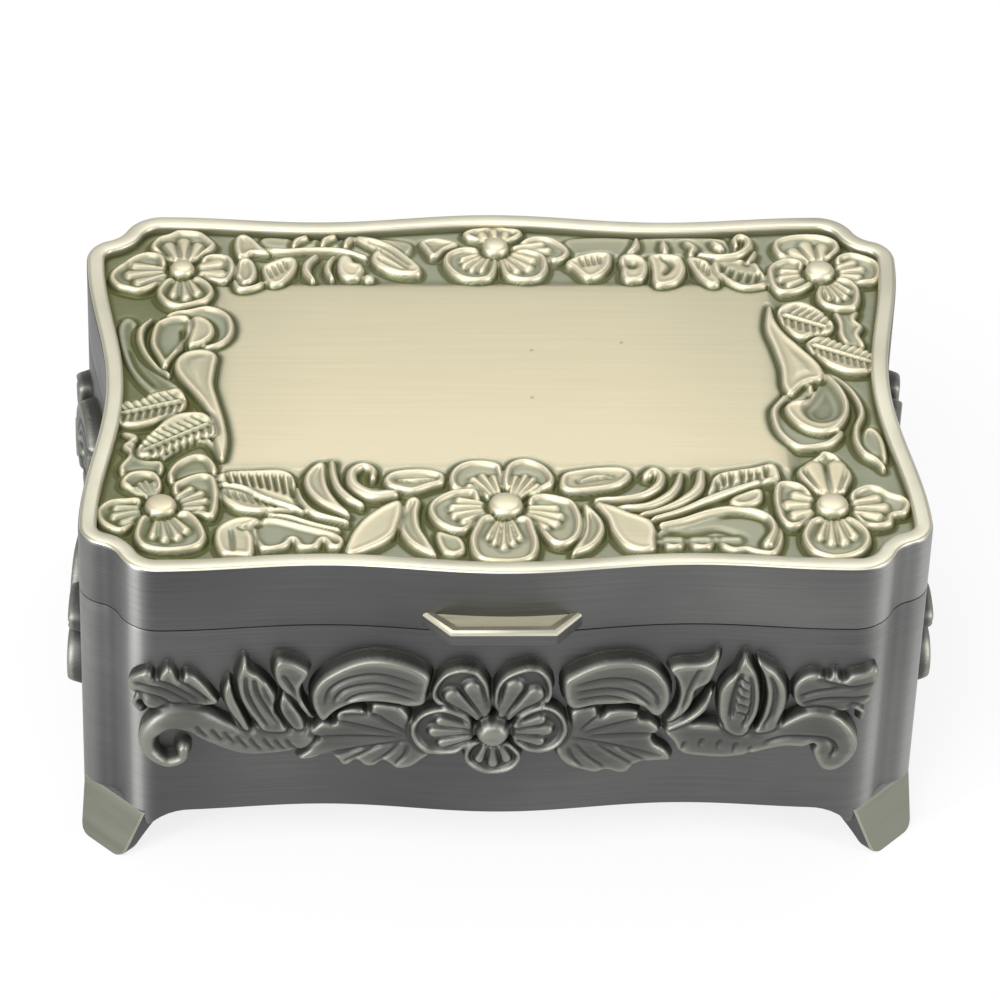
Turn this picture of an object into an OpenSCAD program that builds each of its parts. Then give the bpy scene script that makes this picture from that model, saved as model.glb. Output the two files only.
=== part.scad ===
// Serpentine keepsake box for a rosary: hinged lid, corner feet, floral relief, velvet lining.
// Millimetres. X runs left to right, Y front to back, Z up from the ground under the feet.

/* [Box outline] */
// Width over the bulges that end the sides
box_w = 102; // [96:1:114]
// Depth over the bulges that end the front and back
box_d = 69; // [64:1:80]
// Height from the ground to the rim of the lid
box_h = 46.5; // [44:0.5:58]
// How far the middle of each side curves in
side_hollow = 2.8; // [1:0.1:3.6]
// Depth of the two shallow waves in the front and back
front_wave = 1.3; // [0.4:0.1:1.8]
// How far the middle of the front and back stands past their ends
front_swell = 0.5; // [0:0.1:1]
// Length of each corner along the front
corner_x = 9.5; // [9:0.1:10.5]
// Length of each corner along the side
corner_y = 8.6; // [8.2:0.1:9.6]
// Radius of the bulge that ends each side
side_bulge_r = 3.8; // [3.6:0.1:4.2]
// Radius of the notch between the two bulges of a corner
notch_r = 3.7; // [3:0.1:4.4]
// Radius of the bulge that ends the front and back
front_bulge_r = 5.1; // [4.8:0.1:5.6]

/* [Walls] */
// Thickness of the cast walls of the body and the lid
wall = 1.8; // [1.4:0.1:2.2]
// Height of the lid from the parting line to the rim
lid_h = 9.5; // [8.5:0.5:12]
// Gap between the body and the closed lid
parting_gap = 0.1; // [0.05:0.05:0.3]
// Height of the apron between the feet above the ground
apron_h = 7.7; // [7:0.1:9]
// Radius of the curve from the apron into each foot
apron_r = 6; // [4:0.5:8]
// Length of the front apron's curve ends from the corner
apron_end_x = 13; // [12:0.5:15]
// Length of the side apron's curve ends from the corner
apron_end_y = 13.5; // [12.5:0.5:15]
// Thickness of the base plate
base_t = 1; // [0.8:0.1:1.6]
// Height of the base plate above the apron's edge
base_rise = 1.3; // [0.8:0.1:2.5]

/* [Feet] */
// Height of the flat face of a foot
foot_h = 7.2; // [6.2:0.1:7.6]
// Height of the lowest edge of the walls beside a foot
skirt_h = 5.2; // [4:0.1:5.8]
// Width of a foot at its top
foot_top_w = 10.2; // [9:0.2:11]
// Width of a foot on the ground
foot_toe_w = 6; // [4:0.2:7]
// How far a foot flares outward
foot_flare = 2.9; // [1.5:0.1:4]
// Depth of the cut that the foot's face makes across the corner bulges
foot_inset = 0.7; // [0.4:0.1:1]
// Thickness of a foot at its top, across the corner
foot_root = 6; // [4.5:0.5:8]
// Thickness of a foot on the ground, across the corner
foot_toe = 3.8; // [3:0.2:5]

/* [Lid] */
// Width of the raised rim
rim_w = 2.2; // [1.6:0.1:2.8]
// Radius of the rim's rounded edge
rim_r = 0.6; // [0.3:0.1:0.8]
// Depth of the ground behind the relief below the rim
ground_depth = 1.2; // [0.8:0.1:1.8]
// Height of the plain panel above the ground
panel_rise = 0.6; // [0.3:0.1:0.6]
// Width of the plain panel
panel_w = 70; // [60:1:76]
// Depth of the plain panel
panel_d = 37; // [30:1:40]
// Distance of the panel's centre behind the lid's centre
panel_back = 2.8; // [0:0.1:4]
// Thickness of the lid under the ground of the relief
lid_top_t = 1.6; // [1.2:0.1:2.2]

/* [Lifting tab] */
// Width of the tab where it leaves the lid
tab_root_w = 20; // [14:1:24]
// Width of the tab at its front edge
tab_tip_w = 12.6; // [8:0.2:14]
// Reach of the tab in front of the lid
tab_reach = 3; // [2:0.1:3.2]
// Thickness of the tab
tab_t = 2.2; // [1.5:0.1:3]
// Height of the tab above the parting line
tab_rise = 0.5; // [0.3:0.1:1.5]

/* [Hinge] */
// Length of the hinge
hinge_w = 30; // [24:1:36]
// Number of knuckles, shared between body and lid
knuckles = 5; // [3:2:7]
// Radius of the knuckles
barrel_r = 1.45; // [1.3:0.05:1.7]
// Radius of the hinge pin
pin_r = 0.8; // [0.6:0.05:0.9]
// Clearance of the lid's knuckles on the pin
pin_clearance = 0.05; // [0.02:0.01:0.08]
// Gap between neighbouring knuckles
knuckle_gap = 0.1; // [0.05:0.05:0.3]
// Clearance between the hinge's moving parts and the walls
swing_clearance = 0.1; // [0.1:0.05:0.2]
// Thickness of a hinge leaf
leaf_t = 0.6; // [0.5:0.1:0.7]
// Height of a hinge leaf from the pin
leaf_h = 4.4; // [4:0.1:5.5]
// How far the flat hinge seats stand past the middle of the back wall
seat_proud = 0.1; // [0.1:0.05:0.5]
// Margin of the hinge seats round the leaves
seat_margin = 0.6; // [0.3:0.1:1]
// Reach of the stop lugs from the pin
stop_reach = 2.2; // [2:0.1:2.6]
// Thickness of the stop lugs
stop_t = 1; // [0.8:0.1:1.2]
// Distance of the stop lugs from the ends of their knuckles
stop_inset = 0.6; // [0.4:0.1:1.2]
// Angle at which the stop lugs hold the open lid
open_angle = 100; // [92:1:105]
// Height of the pin's riveted heads
pin_head = 0.4; // [0.3:0.1:0.8]
// Radius of the rivet shanks
rivet_r = 0.6; // [0.4:0.05:0.7]
// Radius of the rivet heads
rivet_head_r = 1.05; // [0.9:0.05:1.15]
// Depth of the rivets in the walls
rivet_bite = 1.1; // [0.8:0.1:1.3]
// Distance of the rivets from the pin
rivet_drop = 3.1; // [2.9:0.1:3.2]
// Distance of the rivets from the hinge's middle
rivet_x = 12; // [9:0.5:13]

/* [Lining] */
// Thickness of the velvet lining on the walls
lining_t = 1.2; // [0.8:0.1:1.4]
// Clearance behind the wall lining
lining_gap = 0.05; // [0.05:0.05:0.2]
// Distance of the lining's top edge below the body's edge
lining_drop = 0.8; // [0.4:0.1:2]
// Gap between neighbouring lining pieces at the corners
seam_gap = 0.3; // [0.2:0.1:0.6]
// Thickness of the cards under the pads
card_t = 1; // [0.6:0.1:1.5]
// Thickness of the floor pad
floor_pad_t = 2.4; // [1.5:0.1:4]
// Thickness of the lid pad
lid_pad_t = 2; // [1.2:0.1:3]
// Clearance round the pads
pad_gap = 0.3; // [0.3:0.1:0.6]

/* [Wall relief] */
// Height of the flowers' centres on the walls above the ground
flower_z = 22.8; // [20:0.2:25]
// How much lower the back relief sits, under the hinge
back_drop = 1.4; // [1:0.1:2]
// Distance of the front flower from the middle
front_flower_x = -1.2; // [-3:0.2:3]
// Reach of the leaves' edges in front of the wall
edge_proud = 1.4; // [0.8:0.1:1.6]
// Reach of the leaves and petals in front of the wall
leaf_proud = 2.4; // [1.8:0.1:2.8]
// Reach of the flowers' bosses in front of the wall
boss_proud = 3.4; // [2.6:0.1:3.6]
// Distance of the petals' middles from the flower's centre
wall_petal_reach = 6; // [5.4:0.1:6.6]
// Width of the petals on the walls
wall_petal_w = 7.2; // [6:0.1:7.6]
// Width of the step between the leaves' edges and their crowns
edge_slope = 0.6; // [0.3:0.1:0.8]
// Clearance between the relief and what it fits in
fit_gap = 0.02; // [0.01:0.01:0.1]

/* [Lid relief] */
// Distance of the corner flowers at front left and back right from the side
flower_in = 9.7; // [9.4:0.1:11]
// Distance of the corner flowers at front right and back left from the side
flower_far_in = 11.9; // [11:0.1:13]
// Distance of the corner flowers from the front and back
flower_end_in = 11.4; // [10.8:0.1:12.4]
// Reach of the leaves' edges above the ground
lid_leaf_rise = 1; // [0.7:0.1:1.1]
// Reach of the leaves' and petals' crowns above the ground
lid_petal_rise = 1.5; // [1.2:0.1:1.7]
// Reach of the flowers' bosses above the ground
lid_boss_rise = 2.1; // [1.4:0.1:2.4]
// Distance of the petals' middles from a corner flower's centre
corner_petal_reach = 5.4; // [4.8:0.1:5.8]
// Width of the petals of the corner flowers
corner_petal_w = 6.4; // [5:0.1:6.8]
// Distance of the petals' middles from the centre flower's centre
centre_petal_reach = 6.4; // [5.6:0.1:6.8]
// Width of the petals of the centre flower
centre_petal_w = 7.4; // [6:0.1:7.8]
// Distance of the centre flower from the middle
centre_flower_x = -0.4; // [-2:0.2:2]
// Distance of the back flower from the back
back_flower_in = 6.2; // [6:0.1:7]
// Distance of the petals' middles from the back flower's centre
back_petal_reach = 4.6; // [4:0.1:5]
// Width of the petals of the back flower
back_petal_w = 6; // [5:0.1:6.4]

/* [Hidden] */

// Finishes
pewter = "DimGray";
cream = "LemonChiffon";
old_silver = "Gray";
steel = "LightGray";
velvet = "DarkRed";
card = "Tan";

// Heights
parting_z = box_h - lid_h;
body_top = parting_z - parting_gap / 2;
lid_bottom = parting_z + parting_gap / 2;
base_z = apron_h + base_rise;
card_z = base_z + base_t;
pad_z = card_z + card_t;
pad_top = pad_z + floor_pad_t;
ground_z = box_h - ground_depth;
lid_under = ground_z - lid_top_t;
lid_card_z = lid_under - card_t;
lining_in = wall + lining_gap + lining_t;
overshoot = 20;

// Corner geometry: the side bulge's centre, the front bulge's centre and the notch's centre
side_end = box_d / 2 - corner_y;
front_end = box_w / 2 - corner_x;
side_bulge = [box_w / 2 - side_bulge_r, side_end];
front_bulge = [front_end, box_d / 2 - front_bulge_r];
bulge_gap = norm(front_bulge - side_bulge);
along = (front_bulge - side_bulge) / bulge_gap;
outward = [along.y, -along.x];
side_span = side_bulge_r + notch_r;
front_span = front_bulge_r + notch_r;
notch_along = (side_span * side_span - front_span * front_span + bulge_gap * bulge_gap) / (2 * bulge_gap);
notch_out = sqrt(side_span * side_span - notch_along * notch_along);
notch = side_bulge + along * notch_along + outward * notch_out;
side_turn = atan2(notch.y - side_bulge.y, notch.x - side_bulge.x);
front_turn = atan2(notch.y - front_bulge.y, notch.x - front_bulge.x);

// The outline, offset inward by inset, as one quarter and its mirror images
arc_steps = 6;
side_steps = 8;
front_steps = 16;
function side_x(y) = box_w / 2 - side_hollow * (1 + cos(180 * y / side_end)) / 2;
function side_slope(y) = side_hollow * PI / (2 * side_end) * sin(180 * y / side_end);
function front_y(x) = box_d / 2 + front_swell * (1 + cos(180 * x / front_end)) / 2
    - front_wave * (1 - cos(360 * x / front_end)) / 2;
function front_slope(x) = -front_swell * PI / (2 * front_end) * sin(180 * x / front_end)
    - front_wave * PI / front_end * sin(360 * x / front_end);
function unit(v) = v / norm(v);
function side_point(y, inset) = [side_x(y), y] - inset * unit([1, -side_slope(y)]);
function front_point(x, inset) = [x, front_y(x)] - inset * unit([-front_slope(x), 1]);
function arc_point(centre, r, a) = centre + r * [cos(a), sin(a)];
function quarter(inset) = concat(
    [for (i = [0:side_steps - 1]) side_point(side_end * i / side_steps, inset)],
    [for (i = [0:arc_steps - 1]) arc_point(side_bulge, side_bulge_r - inset, side_turn * i / arc_steps)],
    [for (i = [0:arc_steps - 1]) arc_point(notch, notch_r + inset,
        180 + side_turn + (front_turn - side_turn) * i / arc_steps)],
    [for (i = [0:arc_steps - 1]) arc_point(front_bulge, front_bulge_r - inset,
        front_turn + (90 - front_turn) * i / arc_steps)],
    [for (i = [0:front_steps]) front_point(front_end * (1 - i / front_steps), inset)]);
function mirrored(q, sx, sy) = [for (p = q) [sx * p.x, sy * p.y]];
function backward(q) = [for (i = [len(q) - 2:-1:1]) q[i]];
function outline(inset) = let (q = quarter(inset)) concat(
    q, mirrored(backward(q), -1, 1), [mirrored(q, -1, 1)[0]],
    mirrored([for (i = [1:len(q) - 1]) q[i]], -1, -1), mirrored(backward(q), 1, -1));

// A solid through a stack of outlines, each given as [inset, height]
module lofted(levels) {
    rings = [for (l = levels) [for (p = outline(l[0])) [p.x, p.y, l[1]]]];
    count = len(rings[0]);
    last = len(levels) - 1;
    points = concat([for (r = rings) each r], [[0, 0, levels[0][1]], [0, 0, levels[last][1]]]);
    sides = [for (k = [0:last - 1]) for (i = [0:count - 1]) let (j = (i + 1) % count)
        each [[k * count + i, (k + 1) * count + i, (k + 1) * count + j],
            [k * count + i, (k + 1) * count + j, k * count + j]]];
    caps = [for (i = [0:count - 1]) let (j = (i + 1) % count)
        each [[i, j, len(points) - 2], [last * count + j, last * count + i, len(points) - 1]]];
    polyhedron(points, concat(sides, caps));
}

module prism(bottom, top, inset = 0) {
    translate([0, 0, bottom]) linear_extrude(top - bottom) polygon(outline(inset));
}

module ring(bottom, top, outer, inner) {
    translate([0, 0, bottom]) linear_extrude(top - bottom) difference() {
        polygon(outline(outer));
        polygon(outline(inner));
    }
}

// Feet: each foot's frame has its middle on the corner's diagonal
side_reach = (side_bulge.x + side_bulge.y) / sqrt(2) + side_bulge_r;
front_reach = (front_bulge.x + front_bulge.y) / sqrt(2) + front_bulge_r;
foot_face = min(side_reach, front_reach) - foot_inset;
foot_shift = ((side_bulge.y - side_bulge.x) + (front_bulge.y - front_bulge.x)) / (2 * sqrt(2));

module foot_frame(sx, sy) {
    mirror([sx > 0 ? 0 : 1, 0, 0]) mirror([0, sy > 0 ? 0 : 1, 0])
        rotate([0, 0, 45]) translate([0, foot_shift, 0]) children();
}

// The foot's outline across the corner, extruded outward from reach by length
module foot_width(reach, length) {
    translate([reach, 0, 0]) rotate([90, 0, 90]) linear_extrude(length) polygon([
        [-foot_toe_w / 2, 0], [foot_toe_w / 2, 0],
        [foot_top_w / 2, foot_h], [-foot_top_w / 2, foot_h]]);
}

module foot_profile() {
    rotate([90, 0, 0]) translate([0, 0, -foot_top_w]) linear_extrude(2 * foot_top_w) polygon([
        [foot_face - foot_root, foot_h], [foot_face + foot_flare - foot_toe, 0],
        [foot_face + foot_flare, 0], [foot_face, foot_h]]);
}

module foot(sx, sy) {
    color(old_silver) foot_frame(sx, sy) intersection() {
        foot_width(foot_face - foot_root, foot_root + foot_flare);
        foot_profile();
    }
}

// Aprons: the wall is cut away between the feet, with a round end at each foot
module apron_cut(half_flat, length) {
    rotate([90, 0, 0]) translate([0, 0, -length / 2]) linear_extrude(length) {
        translate([-half_flat, apron_h - apron_r]) square([2 * half_flat, apron_r]);
        for (s = [-1, 1]) translate([s * half_flat, apron_h - apron_r]) circle(apron_r, $fn = 64);
    }
}

// Hinge geometry at the back, on flat seats
seat_y = front_y(0) + seat_proud;
hinge_y = seat_y + barrel_r + swing_clearance;
leaf_y = seat_y + leaf_t;
leaf_gap = barrel_r + swing_clearance;
knuckle_w = hinge_w / knuckles;
seat_w = hinge_w + 2 * seat_margin;

module hinge_seat(bottom, top) {
    translate([-seat_w / 2, box_d / 2 - wall - front_wave, bottom])
        cube([seat_w, seat_y - box_d / 2 + wall + front_wave, top - bottom]);
}

module rivet_holes(z) {
    for (s = [-1, 1]) translate([s * rivet_x, seat_y - overshoot / 10, z])
        rotate([-90, 0, 0]) cylinder(h = overshoot / 5, r = rivet_r, $fn = 32);
}

module body_shell() {
    color(pewter) difference() {
        union() {
            ring(skirt_h, body_top, 0, wall);
            difference() {
                hinge_seat(parting_z - leaf_h - seat_margin, body_top);
                prism(0, box_h, wall);
            }
        }
        apron_cut(box_w / 2 - apron_end_x, box_d + overshoot);
        rotate([0, 0, 90]) apron_cut(box_d / 2 - apron_end_y, box_w + overshoot);
        for (sx = [-1, 1]) for (sy = [-1, 1])
            foot_frame(sx, sy) foot_width(foot_face - foot_root, overshoot);
        rivet_holes(parting_z - rivet_drop);
    }
}

module base_plate() {
    color(pewter) prism(base_z, card_z, wall);
}

module foot_front_left() { foot(-1, -1); }
module foot_front_right() { foot(1, -1); }
module foot_back_left() { foot(-1, 1); }
module foot_back_right() { foot(1, 1); }

// Lid
module panel(top) {
    translate([0, panel_back, ground_z]) linear_extrude(top - ground_z)
        square([panel_w, panel_d], center = true);
}

module lid_shell() {
    color(pewter) difference() {
        union() {
            difference() {
                lofted([[0, lid_bottom], [0, box_h - rim_r], [rim_r * 0.3, box_h - rim_r * 0.3],
                    [rim_r, box_h]]);
                prism(ground_z, box_h + 1, rim_w);
            }
            panel(ground_z + panel_rise);
            difference() {
                hinge_seat(lid_bottom, parting_z + leaf_h + seat_margin);
                prism(0, box_h, wall);
            }
        }
        prism(parting_z - 1, lid_under, wall);
        rivet_holes(parting_z + rivet_drop);
    }
}

module front_tab() {
    root_y = front_y(0) - front_wave;
    tip_y = front_y(0) + tab_reach;
    color(cream) difference() {
        translate([0, 0, lid_bottom + tab_rise]) linear_extrude(tab_t) polygon([
            [-tab_root_w / 2, -root_y], [-tab_tip_w / 2, -tip_y],
            [tab_tip_w / 2, -tip_y], [tab_root_w / 2, -root_y]]);
        prism(parting_z, box_h, 0);
    }
}

// Hinge
module hinge_frame() {
    translate([0, hinge_y, parting_z]) children();
}

module knuckle(k, r) {
    translate([-hinge_w / 2 + k * knuckle_w + knuckle_gap / 2, 0, 0]) rotate([0, 90, 0])
        cylinder(h = knuckle_w - knuckle_gap, r = r, $fn = 48);
}

// A leaf hangs from the knuckles in its list, below the pin when down is 1 and above when -1
module hinge_leaf(own, down) {
    hinge_frame() {
        translate([-hinge_w / 2, seat_y - hinge_y, down > 0 ? -leaf_h : leaf_gap])
            cube([hinge_w, leaf_t, leaf_h - leaf_gap]);
        for (k = own) {
            translate([-hinge_w / 2 + k * knuckle_w + knuckle_gap / 2, seat_y - hinge_y,
                down > 0 ? -leaf_gap : 0]) cube([knuckle_w - knuckle_gap, leaf_t, leaf_gap]);
            knuckle(k, barrel_r);
        }
    }
}

module pin_bore(r) {
    hinge_frame() translate([-hinge_w, 0, 0]) rotate([0, 90, 0])
        cylinder(h = 2 * hinge_w, r = r, $fn = 48);
}

// The lugs turn with the lid and meet the body's leaf at the open angle
module stop_lugs(own) {
    for (k = own) hinge_frame() rotate([open_angle, 0, 0])
        translate([-hinge_w / 2 + k * knuckle_w + stop_inset,
            leaf_y - hinge_y + swing_clearance, -stop_reach])
            cube([knuckle_w - 2 * stop_inset, stop_t, stop_reach]);
}

body_knuckles = [for (k = [0:2:knuckles - 1]) k];
lid_knuckles = [for (k = [1:2:knuckles - 1]) k];

module hinge_body_leaf() {
    color(old_silver) difference() {
        hinge_leaf(body_knuckles, 1);
        pin_bore(pin_r);
        rivet_holes(parting_z - rivet_drop);
    }
}

module hinge_lid_leaf() {
    color(old_silver) difference() {
        union() {
            hinge_leaf(lid_knuckles, -1);
            stop_lugs(lid_knuckles);
        }
        pin_bore(pin_r + pin_clearance);
        rivet_holes(parting_z + rivet_drop);
    }
}

module hinge_pin() {
    color(steel) hinge_frame() {
        translate([-hinge_w / 2, 0, 0]) rotate([0, 90, 0]) cylinder(h = hinge_w, r = pin_r, $fn = 48);
        for (s = [-1, 1]) scale([s, 1, 1]) translate([hinge_w / 2 - knuckle_gap / 2, 0, 0])
            rotate([0, 90, 0]) cylinder(h = pin_head, r1 = barrel_r * 0.8, r2 = pin_r, $fn = 48);
    }
}

module rivets(z) {
    color(steel) for (s = [-1, 1]) translate([s * rivet_x, 0, z]) {
        translate([0, seat_y - rivet_bite, 0]) rotate([-90, 0, 0])
            cylinder(h = rivet_bite + leaf_t + pin_head / 2, r = rivet_r, $fn = 32);
        translate([0, leaf_y, 0]) rotate([-90, 0, 0])
            cylinder(h = pin_head, r1 = rivet_head_r, r2 = rivet_r, $fn = 32);
    }
}

module body_rivets() { rivets(parting_z - rivet_drop); }
module lid_rivets() { rivets(parting_z + rivet_drop); }

// Lining
module floor_card() {
    color(card) prism(card_z, pad_z, wall + lining_gap);
}

module pad(bottom, thickness, inset) {
    color(velvet) translate([0, 0, bottom]) linear_extrude(thickness)
        offset(delta = -inset) polygon(outline(0));
}

module floor_pad() {
    pad(pad_z, floor_pad_t, lining_in + pad_gap);
}

module lid_card() {
    color(card) prism(lid_card_z, lid_under, wall + pad_gap);
}

module lid_pad() {
    pad(lid_card_z - lid_pad_t, lid_pad_t, wall + pad_gap);
}

// One wall's lining: the part of the lining ring inside a wedge that ends at the corner notches
module lining(angle, corner_a, corner_b) {
    centre = seam_gap * unit(corner_a + corner_b);
    color(velvet) rotate([0, 0, angle]) intersection() {
        translate([0, 0, pad_z]) linear_extrude(body_top - lining_drop - pad_z) difference() {
            offset(delta = -wall - lining_gap) polygon(outline(0));
            offset(delta = -lining_in) polygon(outline(0));
        }
        linear_extrude(box_h) polygon([centre, centre + 2 * corner_a, centre + 2 * corner_b]);
    }
}

notch_right = [notch.x, -notch.y];
notch_left = [-notch.x, notch.y];

module lining_back() { lining(0, notch, notch_left); }
module lining_front() { lining(180, notch, notch_left); }
module lining_right() { lining(0, notch_right, notch); }
module lining_left() { lining(180, notch_right, notch); }

// Relief is drawn flat: a leaf runs along a curve with three control points and tapers at both ends
leaf_steps = 6;
function curve(p, t) = (1 - t) * (1 - t) * p[0] + 2 * t * (1 - t) * p[1] + t * t * p[2];
function curve_side(p, t) = let (d = (1 - t) * (p[1] - p[0]) + t * (p[2] - p[1])) unit([-d.y, d.x]);
function leaf_half(t, w) = w / 2 * pow(sin(12 + 162 * t), 0.75);
function leaf_edge(p, w, side) = [for (i = [0:leaf_steps]) let (t = i / leaf_steps)
    curve(p, t) + side * leaf_half(t, w) * curve_side(p, t)];
module leaf(p, w) {
    right = leaf_edge(p, w, -1);
    left = leaf_edge(p, w, 1);
    polygon(concat(right, [for (i = [leaf_steps:-1:0]) left[i]]));
}

// A petal has two lobes that narrow towards the flower's centre
module petal(reach, w) {
    lobe = w * 0.29;
    root = w * 0.2;
    for (s = [-1, 1]) translate([reach + lobe * 0.6, s * (w / 2 - lobe)]) circle(lobe, $fn = 16);
    polygon([[reach * 0.3, -root], [reach + lobe * 0.3, -w / 2], [reach + lobe, 0],
        [reach + lobe * 0.3, w / 2], [reach * 0.3, root]]);
}

module flower(angles, reach, w) {
    for (a = angles) rotate(a) petal(reach, w);
    circle(reach / 2, $fn = 24);
}

module boss(reach, bottom, top) {
    translate([0, 0, bottom]) cylinder(h = top - bottom, r1 = reach * 0.42, r2 = reach * 0.22, $fn = 32);
}

boss_sink = (edge_proud + leaf_proud) / 2;

// Wall relief, drawn as seen from outside with the flower's centre at [0, 0]: each leaf is a curve
// and a width, and has a mirrored twin
five_petals = [54, 126, 198, 270, 342];
long_leaves = [
    [[[8.3, 6.8], [20.8, 11.2], [21.6, 1.8]], 5.2],
    [[[6.5, -1.4], [15.5, 0.2], [23.2, -5.4]], 9],
    [[[22.3, 1.2], [24.8, 4.2], [26.3, 10.2]], 3.2],
    [[[23.3, -0.8], [28.3, 2.2], [30.3, 10]], 3.2],
    [[[25.8, -2.3], [31.8, 0.2], [32.8, 6.2]], 3.2],
    [[[22.8, -4.8], [31.8, -2.8], [36.8, 1.7]], 4],
    [[[34.8, 1.7], [45.4, 4.2], [42, -4.6]], 3.6],
    [[[42.3, -2.8], [40.8, -7.2], [37, -4.2]], 2.5],
    [[[34.3, 3.7], [36.8, 7.2], [42.3, 8.7]], 3.4],
    [[[35.8, 3.4], [38.8, 6], [43, 5.2]], 3.4]];
short_leaves = [
    [[[7.6, 6.6], [18.4, 10.4], [18.8, 2.4]], 4.8],
    [[[6.5, -1.4], [12.5, -0.4], [19, -5.6]], 7.6],
    [[[16.5, -1.5], [24.6, 3], [22.6, -4.6]], 3.4],
    [[[17, 2.6], [19.5, 5.8], [23, 6.4]], 3]];

module wall_pattern(leaves) {
    flower(five_petals, wall_petal_reach, wall_petal_w);
    for (s = [0, 1]) mirror([s, 0]) for (l = leaves) leaf(l[0], l[1]);
}

// The band between two distances in front of the wall, along the front or along the right side
function along_front(out) = let (q = quarter(-out), last = len(q) - 1,
    half = [for (i = [last:-1:last - front_steps - arc_steps]) q[i]])
    concat([for (i = [len(half) - 1:-1:1]) [-half[i].x, -half[i].y]], [for (p = half) [p.x, -p.y]]);
function along_side(out) = let (q = quarter(-out), half = [for (i = [0:side_steps + arc_steps - 1]) q[i]])
    concat([for (i = [len(half) - 1:-1:1]) [half[i].x, -half[i].y]], half);
function band(near, far) = concat(near, [for (i = [len(far) - 1:-1:0]) far[i]]);

// One step of the relief: the flat pattern, drawn in by shrink, from one distance to the next
module front_step(shift, z, near, far, shrink) {
    intersection() {
        rotate([90, 0, 0]) linear_extrude(box_d)
            translate([shift, z]) offset(delta = -shrink) wall_pattern(long_leaves);
        linear_extrude(box_h) polygon(band(along_front(near), along_front(far)));
    }
}

module side_step(z, near, far, shrink) {
    intersection() {
        rotate([90, 0, 90]) linear_extrude(box_w)
            translate([0, z]) offset(delta = -shrink) wall_pattern(short_leaves);
        linear_extrude(box_h) polygon(band(along_side(near), along_side(far)));
    }
}

module long_relief(shift, z) {
    front_step(shift, z, 0, edge_proud, fit_gap);
    front_step(shift, z, edge_proud, leaf_proud, edge_slope);
    translate([shift, -front_y(0), z]) rotate([90, 0, 0]) boss(wall_petal_reach, boss_sink, boss_proud);
}

module short_relief() {
    side_step(flower_z, 0, edge_proud, fit_gap);
    side_step(flower_z, edge_proud, leaf_proud, edge_slope);
    translate([side_x(0), 0, flower_z]) rotate([90, 0, 90]) boss(wall_petal_reach, boss_sink, boss_proud);
}

module front_relief() {
    color(old_silver) long_relief(front_flower_x, flower_z);
}

module back_relief() {
    color(old_silver) difference() {
        rotate([0, 0, 180]) long_relief(-front_flower_x, flower_z - back_drop);
        translate([-seat_w / 2, 0, parting_z - leaf_h - seat_margin]) cube([seat_w, box_d, box_h]);
    }
}

module right_relief() {
    color(old_silver) short_relief();
}

module left_relief() {
    color(old_silver) rotate([0, 0, 180]) short_relief();
}

// Lid relief, drawn in plan for a box of the size below: each leaf is a curve and a width
drawn_w = 102;
drawn_d = 69;
grow_x = (box_w - drawn_w) / 2;
grow_y = (box_d - drawn_d) / 2;
front_left_leaves = [
    [[[-25.5, -22.3], [-29, -18.5], [-34.8, -16.6]], 3.8],
    [[[-24.5, -24.6], [-28.5, -23], [-34.2, -21]], 3.4],
    [[[-15.5, -24.8], [-24, -23.5], [-24.6, -15.6]], 3.2],
    [[[-15.5, -23.4], [-21, -22], [-21.6, -15.2]], 2.6],
    [[[-13.6, -20.8], [-19.8, -19.8], [-17.2, -15.3]], 2],
    [[[-18.4, -16], [-15.4, -13.8], [-15.8, -17.6]], 1.6],
    [[[-7.5, -18.8], [-11, -16.4], [-14.8, -17.8]], 3.6],
    [[[-13, -23], [-14, -26.5], [-18.6, -31]], 4.4],
    [[[-11, -23.2], [-13, -27], [-11, -31.4]], 3.6],
    [[[-9, -25], [-10, -28], [-8.5, -31]], 2.2],
    [[[-19.5, -25.6], [-26, -24.6], [-33, -28.5]], 6.2]];
front_right_leaves = [
    [[[7, -19], [10.5, -16.2], [14.8, -17.6]], 3.6],
    [[[11.5, -21], [17.5, -21.3], [19.2, -17.4]], 2],
    [[[19.4, -18.4], [18.6, -13.8], [15.8, -16.8]], 1.6],
    [[[11.5, -22], [19.5, -22], [24, -16]], 2.4],
    [[[13, -23.3], [22, -23], [27, -18.3]], 2.2],
    [[[15, -24.6], [23, -23.4], [31.5, -20.3]], 2.2],
    [[[25, -20.6], [28.5, -18], [33.4, -16]], 3.6],
    [[[10.5, -22.6], [12.5, -26.5], [17.2, -29]], 4.8],
    [[[9.5, -23.4], [12, -28], [10, -31.4]], 3.2],
    [[[18.5, -29.6], [24, -24.5], [31.6, -26.2]], 5.4],
    [[[17.5, -30.6], [24, -29.2], [31.5, -29.5]], 3.4]];
back_left_leaves = [
    [[[-24, 25.2], [-28, 22], [-33, 20.6]], 4.6],
    [[[-25, 27], [-28, 28], [-31.4, 31]], 3.6],
    [[[-31.6, 31], [-29.8, 27], [-31.5, 22.5]], 2],
    [[[-23.4, 21.6], [-23.6, 24], [-22.6, 26.4]], 1.8],
    [[[-21, 21.6], [-21.2, 24], [-20.2, 26.6]], 1.8],
    [[[-18.2, 22], [-17.6, 24], [-17, 26.8]], 3],
    [[[-9, 26.2], [-12.5, 23.8], [-15.6, 22.4]], 3.4],
    [[[-10, 27.4], [-15, 25.6], [-19, 27.4]], 2.2],
    [[[-8, 29], [-16, 31], [-24, 28.2]], 2.2],
    [[[-21.5, 28.6], [-26, 30.4], [-30.4, 28.4]], 2]];
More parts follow.
